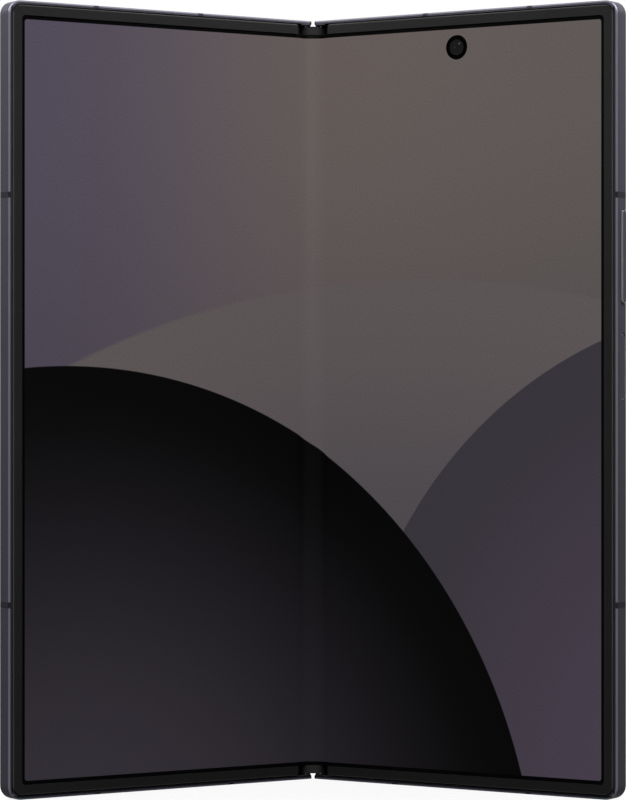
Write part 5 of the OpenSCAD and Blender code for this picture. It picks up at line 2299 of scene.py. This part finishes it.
@dataclass
class Studio:
    """A pale floor, a white room, soft lamps and the camera."""

    camera_y: float = -0.679
    camera_z: float = 0.0792
    lens: float = 149.89
    film_h: float = 36.0
    clip: tuple[float, float] = (0.02, 20.0)
    ambient: float = 0.16
    floor_half: float = 4.0
    floor_t: float = 0.02
    floor_bevel: float = 0.01
    floor_glow: float = 0.88
    floor_grain: float = 300.0
    floor_rough: float = 0.9
    floor_shine: float = 0.1
    floor_shade: float = 0.14
    floor_pale: tuple[tuple[float, float, float, float], ...] = (
        (0.80, 0.80, 0.81, 1.0),
        (0.84, 0.84, 0.84, 1.0),
    )
    lamps: tuple[Lamp, ...] = (
        Lamp("lamp_top", (0.0, -0.30, 0.30), (0.0, 0.0, 0.12), 0.22, 1.53),
        Lamp("lamp_left", (-0.18, 0.02, 0.26), (-0.06, 0.0, 0.13), 0.12, 1.0),
        Lamp("lamp_right", (0.18, 0.02, 0.26), (0.06, 0.0, 0.13), 0.12, 1.0),
        Lamp("lamp_front_left", (-0.37, -0.70, 0.26), (0.0, 0.0, 0.13), 0.12, 0.2),
        Lamp("lamp_front_right", (0.37, -0.70, 0.26), (0.0, 0.0, 0.13), 0.12, 0.2),
        Lamp("lamp_crown", (0.0, 0.10, 0.42), (0.0, 0.0, 0.15), 0.26, 0.5),
        Lamp("lamp_back", (0.0, 0.4, 0.40), (0.0, 0.0, 0.10), 0.4, 1.8),
    )

    @staticmethod
    def _seen(w: Wires) -> Socket:
        """Gives 1 for camera, glossy and transmission rays.

        Args:
            w: The wires.

        Returns:
            The mask.
        """
        path = w.node("ShaderNodeLightPath").outputs
        both = w.most(path["Is Camera Ray"], path["Is Glossy Ray"])
        return w.most(both, path["Is Transmission Ray"])

    @staticmethod
    def _either(w: Wires, share: Value, a: Socket, b: Socket) -> Socket:
        """Mixes two shaders.

        Args:
            w: The wires.
            share: Share of the second shader.
            a: First shader.
            b: Second shader.

        Returns:
            The mixed shader.
        """
        made = w.node("ShaderNodeMixShader")
        for socket, value in zip(made.inputs, (share, a, b)):
            w.feed(socket, value)
        return made.outputs[0]

    def _world(self) -> None:
        """Makes a room that looks white and lights gently."""
        world = bpy.data.worlds.new("white_room")
        bpy.context.scene.world = world
        world.use_nodes = True
        w = Wires(world.node_tree)
        out = w.node("ShaderNodeOutputWorld").inputs["Surface"]
        rooms = []
        for strength in (self.ambient, 1.0):
            room = w.node("ShaderNodeBackground")
            room.inputs["Color"].default_value = WHITE
            room.inputs["Strength"].default_value = strength
            rooms.append(room.outputs[0])
        w.feed(out, self._either(w, self._seen(w), *rooms))

    def _floor(self) -> None:
        """Makes the pale floor, which keeps the phone's shadow."""
        half = self.floor_half
        bench = Bench("floor").block((-half, -half, -self.floor_t), (half, half, 0))
        bench.bevel(lambda place, _way: place.z > -self.floor_t / 2, self.floor_bevel, 3)
        piece = bench.finish()
        material = bpy.data.materials.new("pale_floor")
        w = SurfaceWires(material)
        w.skin["Roughness"].default_value = self.floor_rough
        w.skin["Specular IOR Level"].default_value = self.floor_shine
        pale = w.blend(w.noise(w.scaled(w.object, self.floor_grain), 1.0), *self.floor_pale)
        shade = (self.floor_shade, self.floor_shade, self.floor_shade, 1.0)
        w.feed(w.skin["Base Color"], w.blend(self._seen(w), shade, pale))
        glow = w.node("ShaderNodeEmission")
        glow.inputs["Color"].default_value = WHITE
        share = w.times(self._seen(w), self.floor_glow)
        w.feed(w.out, self._either(w, share, w.shader, glow.outputs[0]))
        piece.data.materials.append(material)

    def _camera(self) -> None:
        """Adds the camera, level with the middle of the phone."""
        data = bpy.data.cameras.new("camera")
        data.sensor_fit = "VERTICAL"
        data.sensor_height = self.film_h
        data.lens = self.lens
        data.clip_start, data.clip_end = self.clip
        camera = bpy.data.objects.new("camera", data)
        bpy.context.scene.collection.objects.link(camera)
        camera.location = (0.0, self.camera_y, self.camera_z)
        camera.rotation_euler = (math.pi / 2, 0.0, 0.0)
        bpy.context.scene.camera = camera

    def build(self) -> None:
        """Sets up the whole studio."""
        bpy.context.scene.view_settings.view_transform = "Standard"
        self._world()
        self._floor()
        for lamp in self.lamps:
            lamp.build()
        self._camera()
        LOG.info("set up the studio")


def main() -> None:
    """Builds every sub-assembly in order, logging each one's name."""
    logging.basicConfig(level=logging.INFO, format="%(name)s: %(message)s")
    SharedGroups().build()
    for assembly in (
        Studio(),
        InnerDisplay(),
        FrontCamera(),
        MetalHalves(),
        BackPanels(),
        RearCameras(),
        Ports(),
        SpineWorks(),
        WingPlates(),
        Insides(),
    ):
        LOG.info("building %s", type(assembly).__name__)
        assembly.build()


if __name__ == "__main__":
    main()
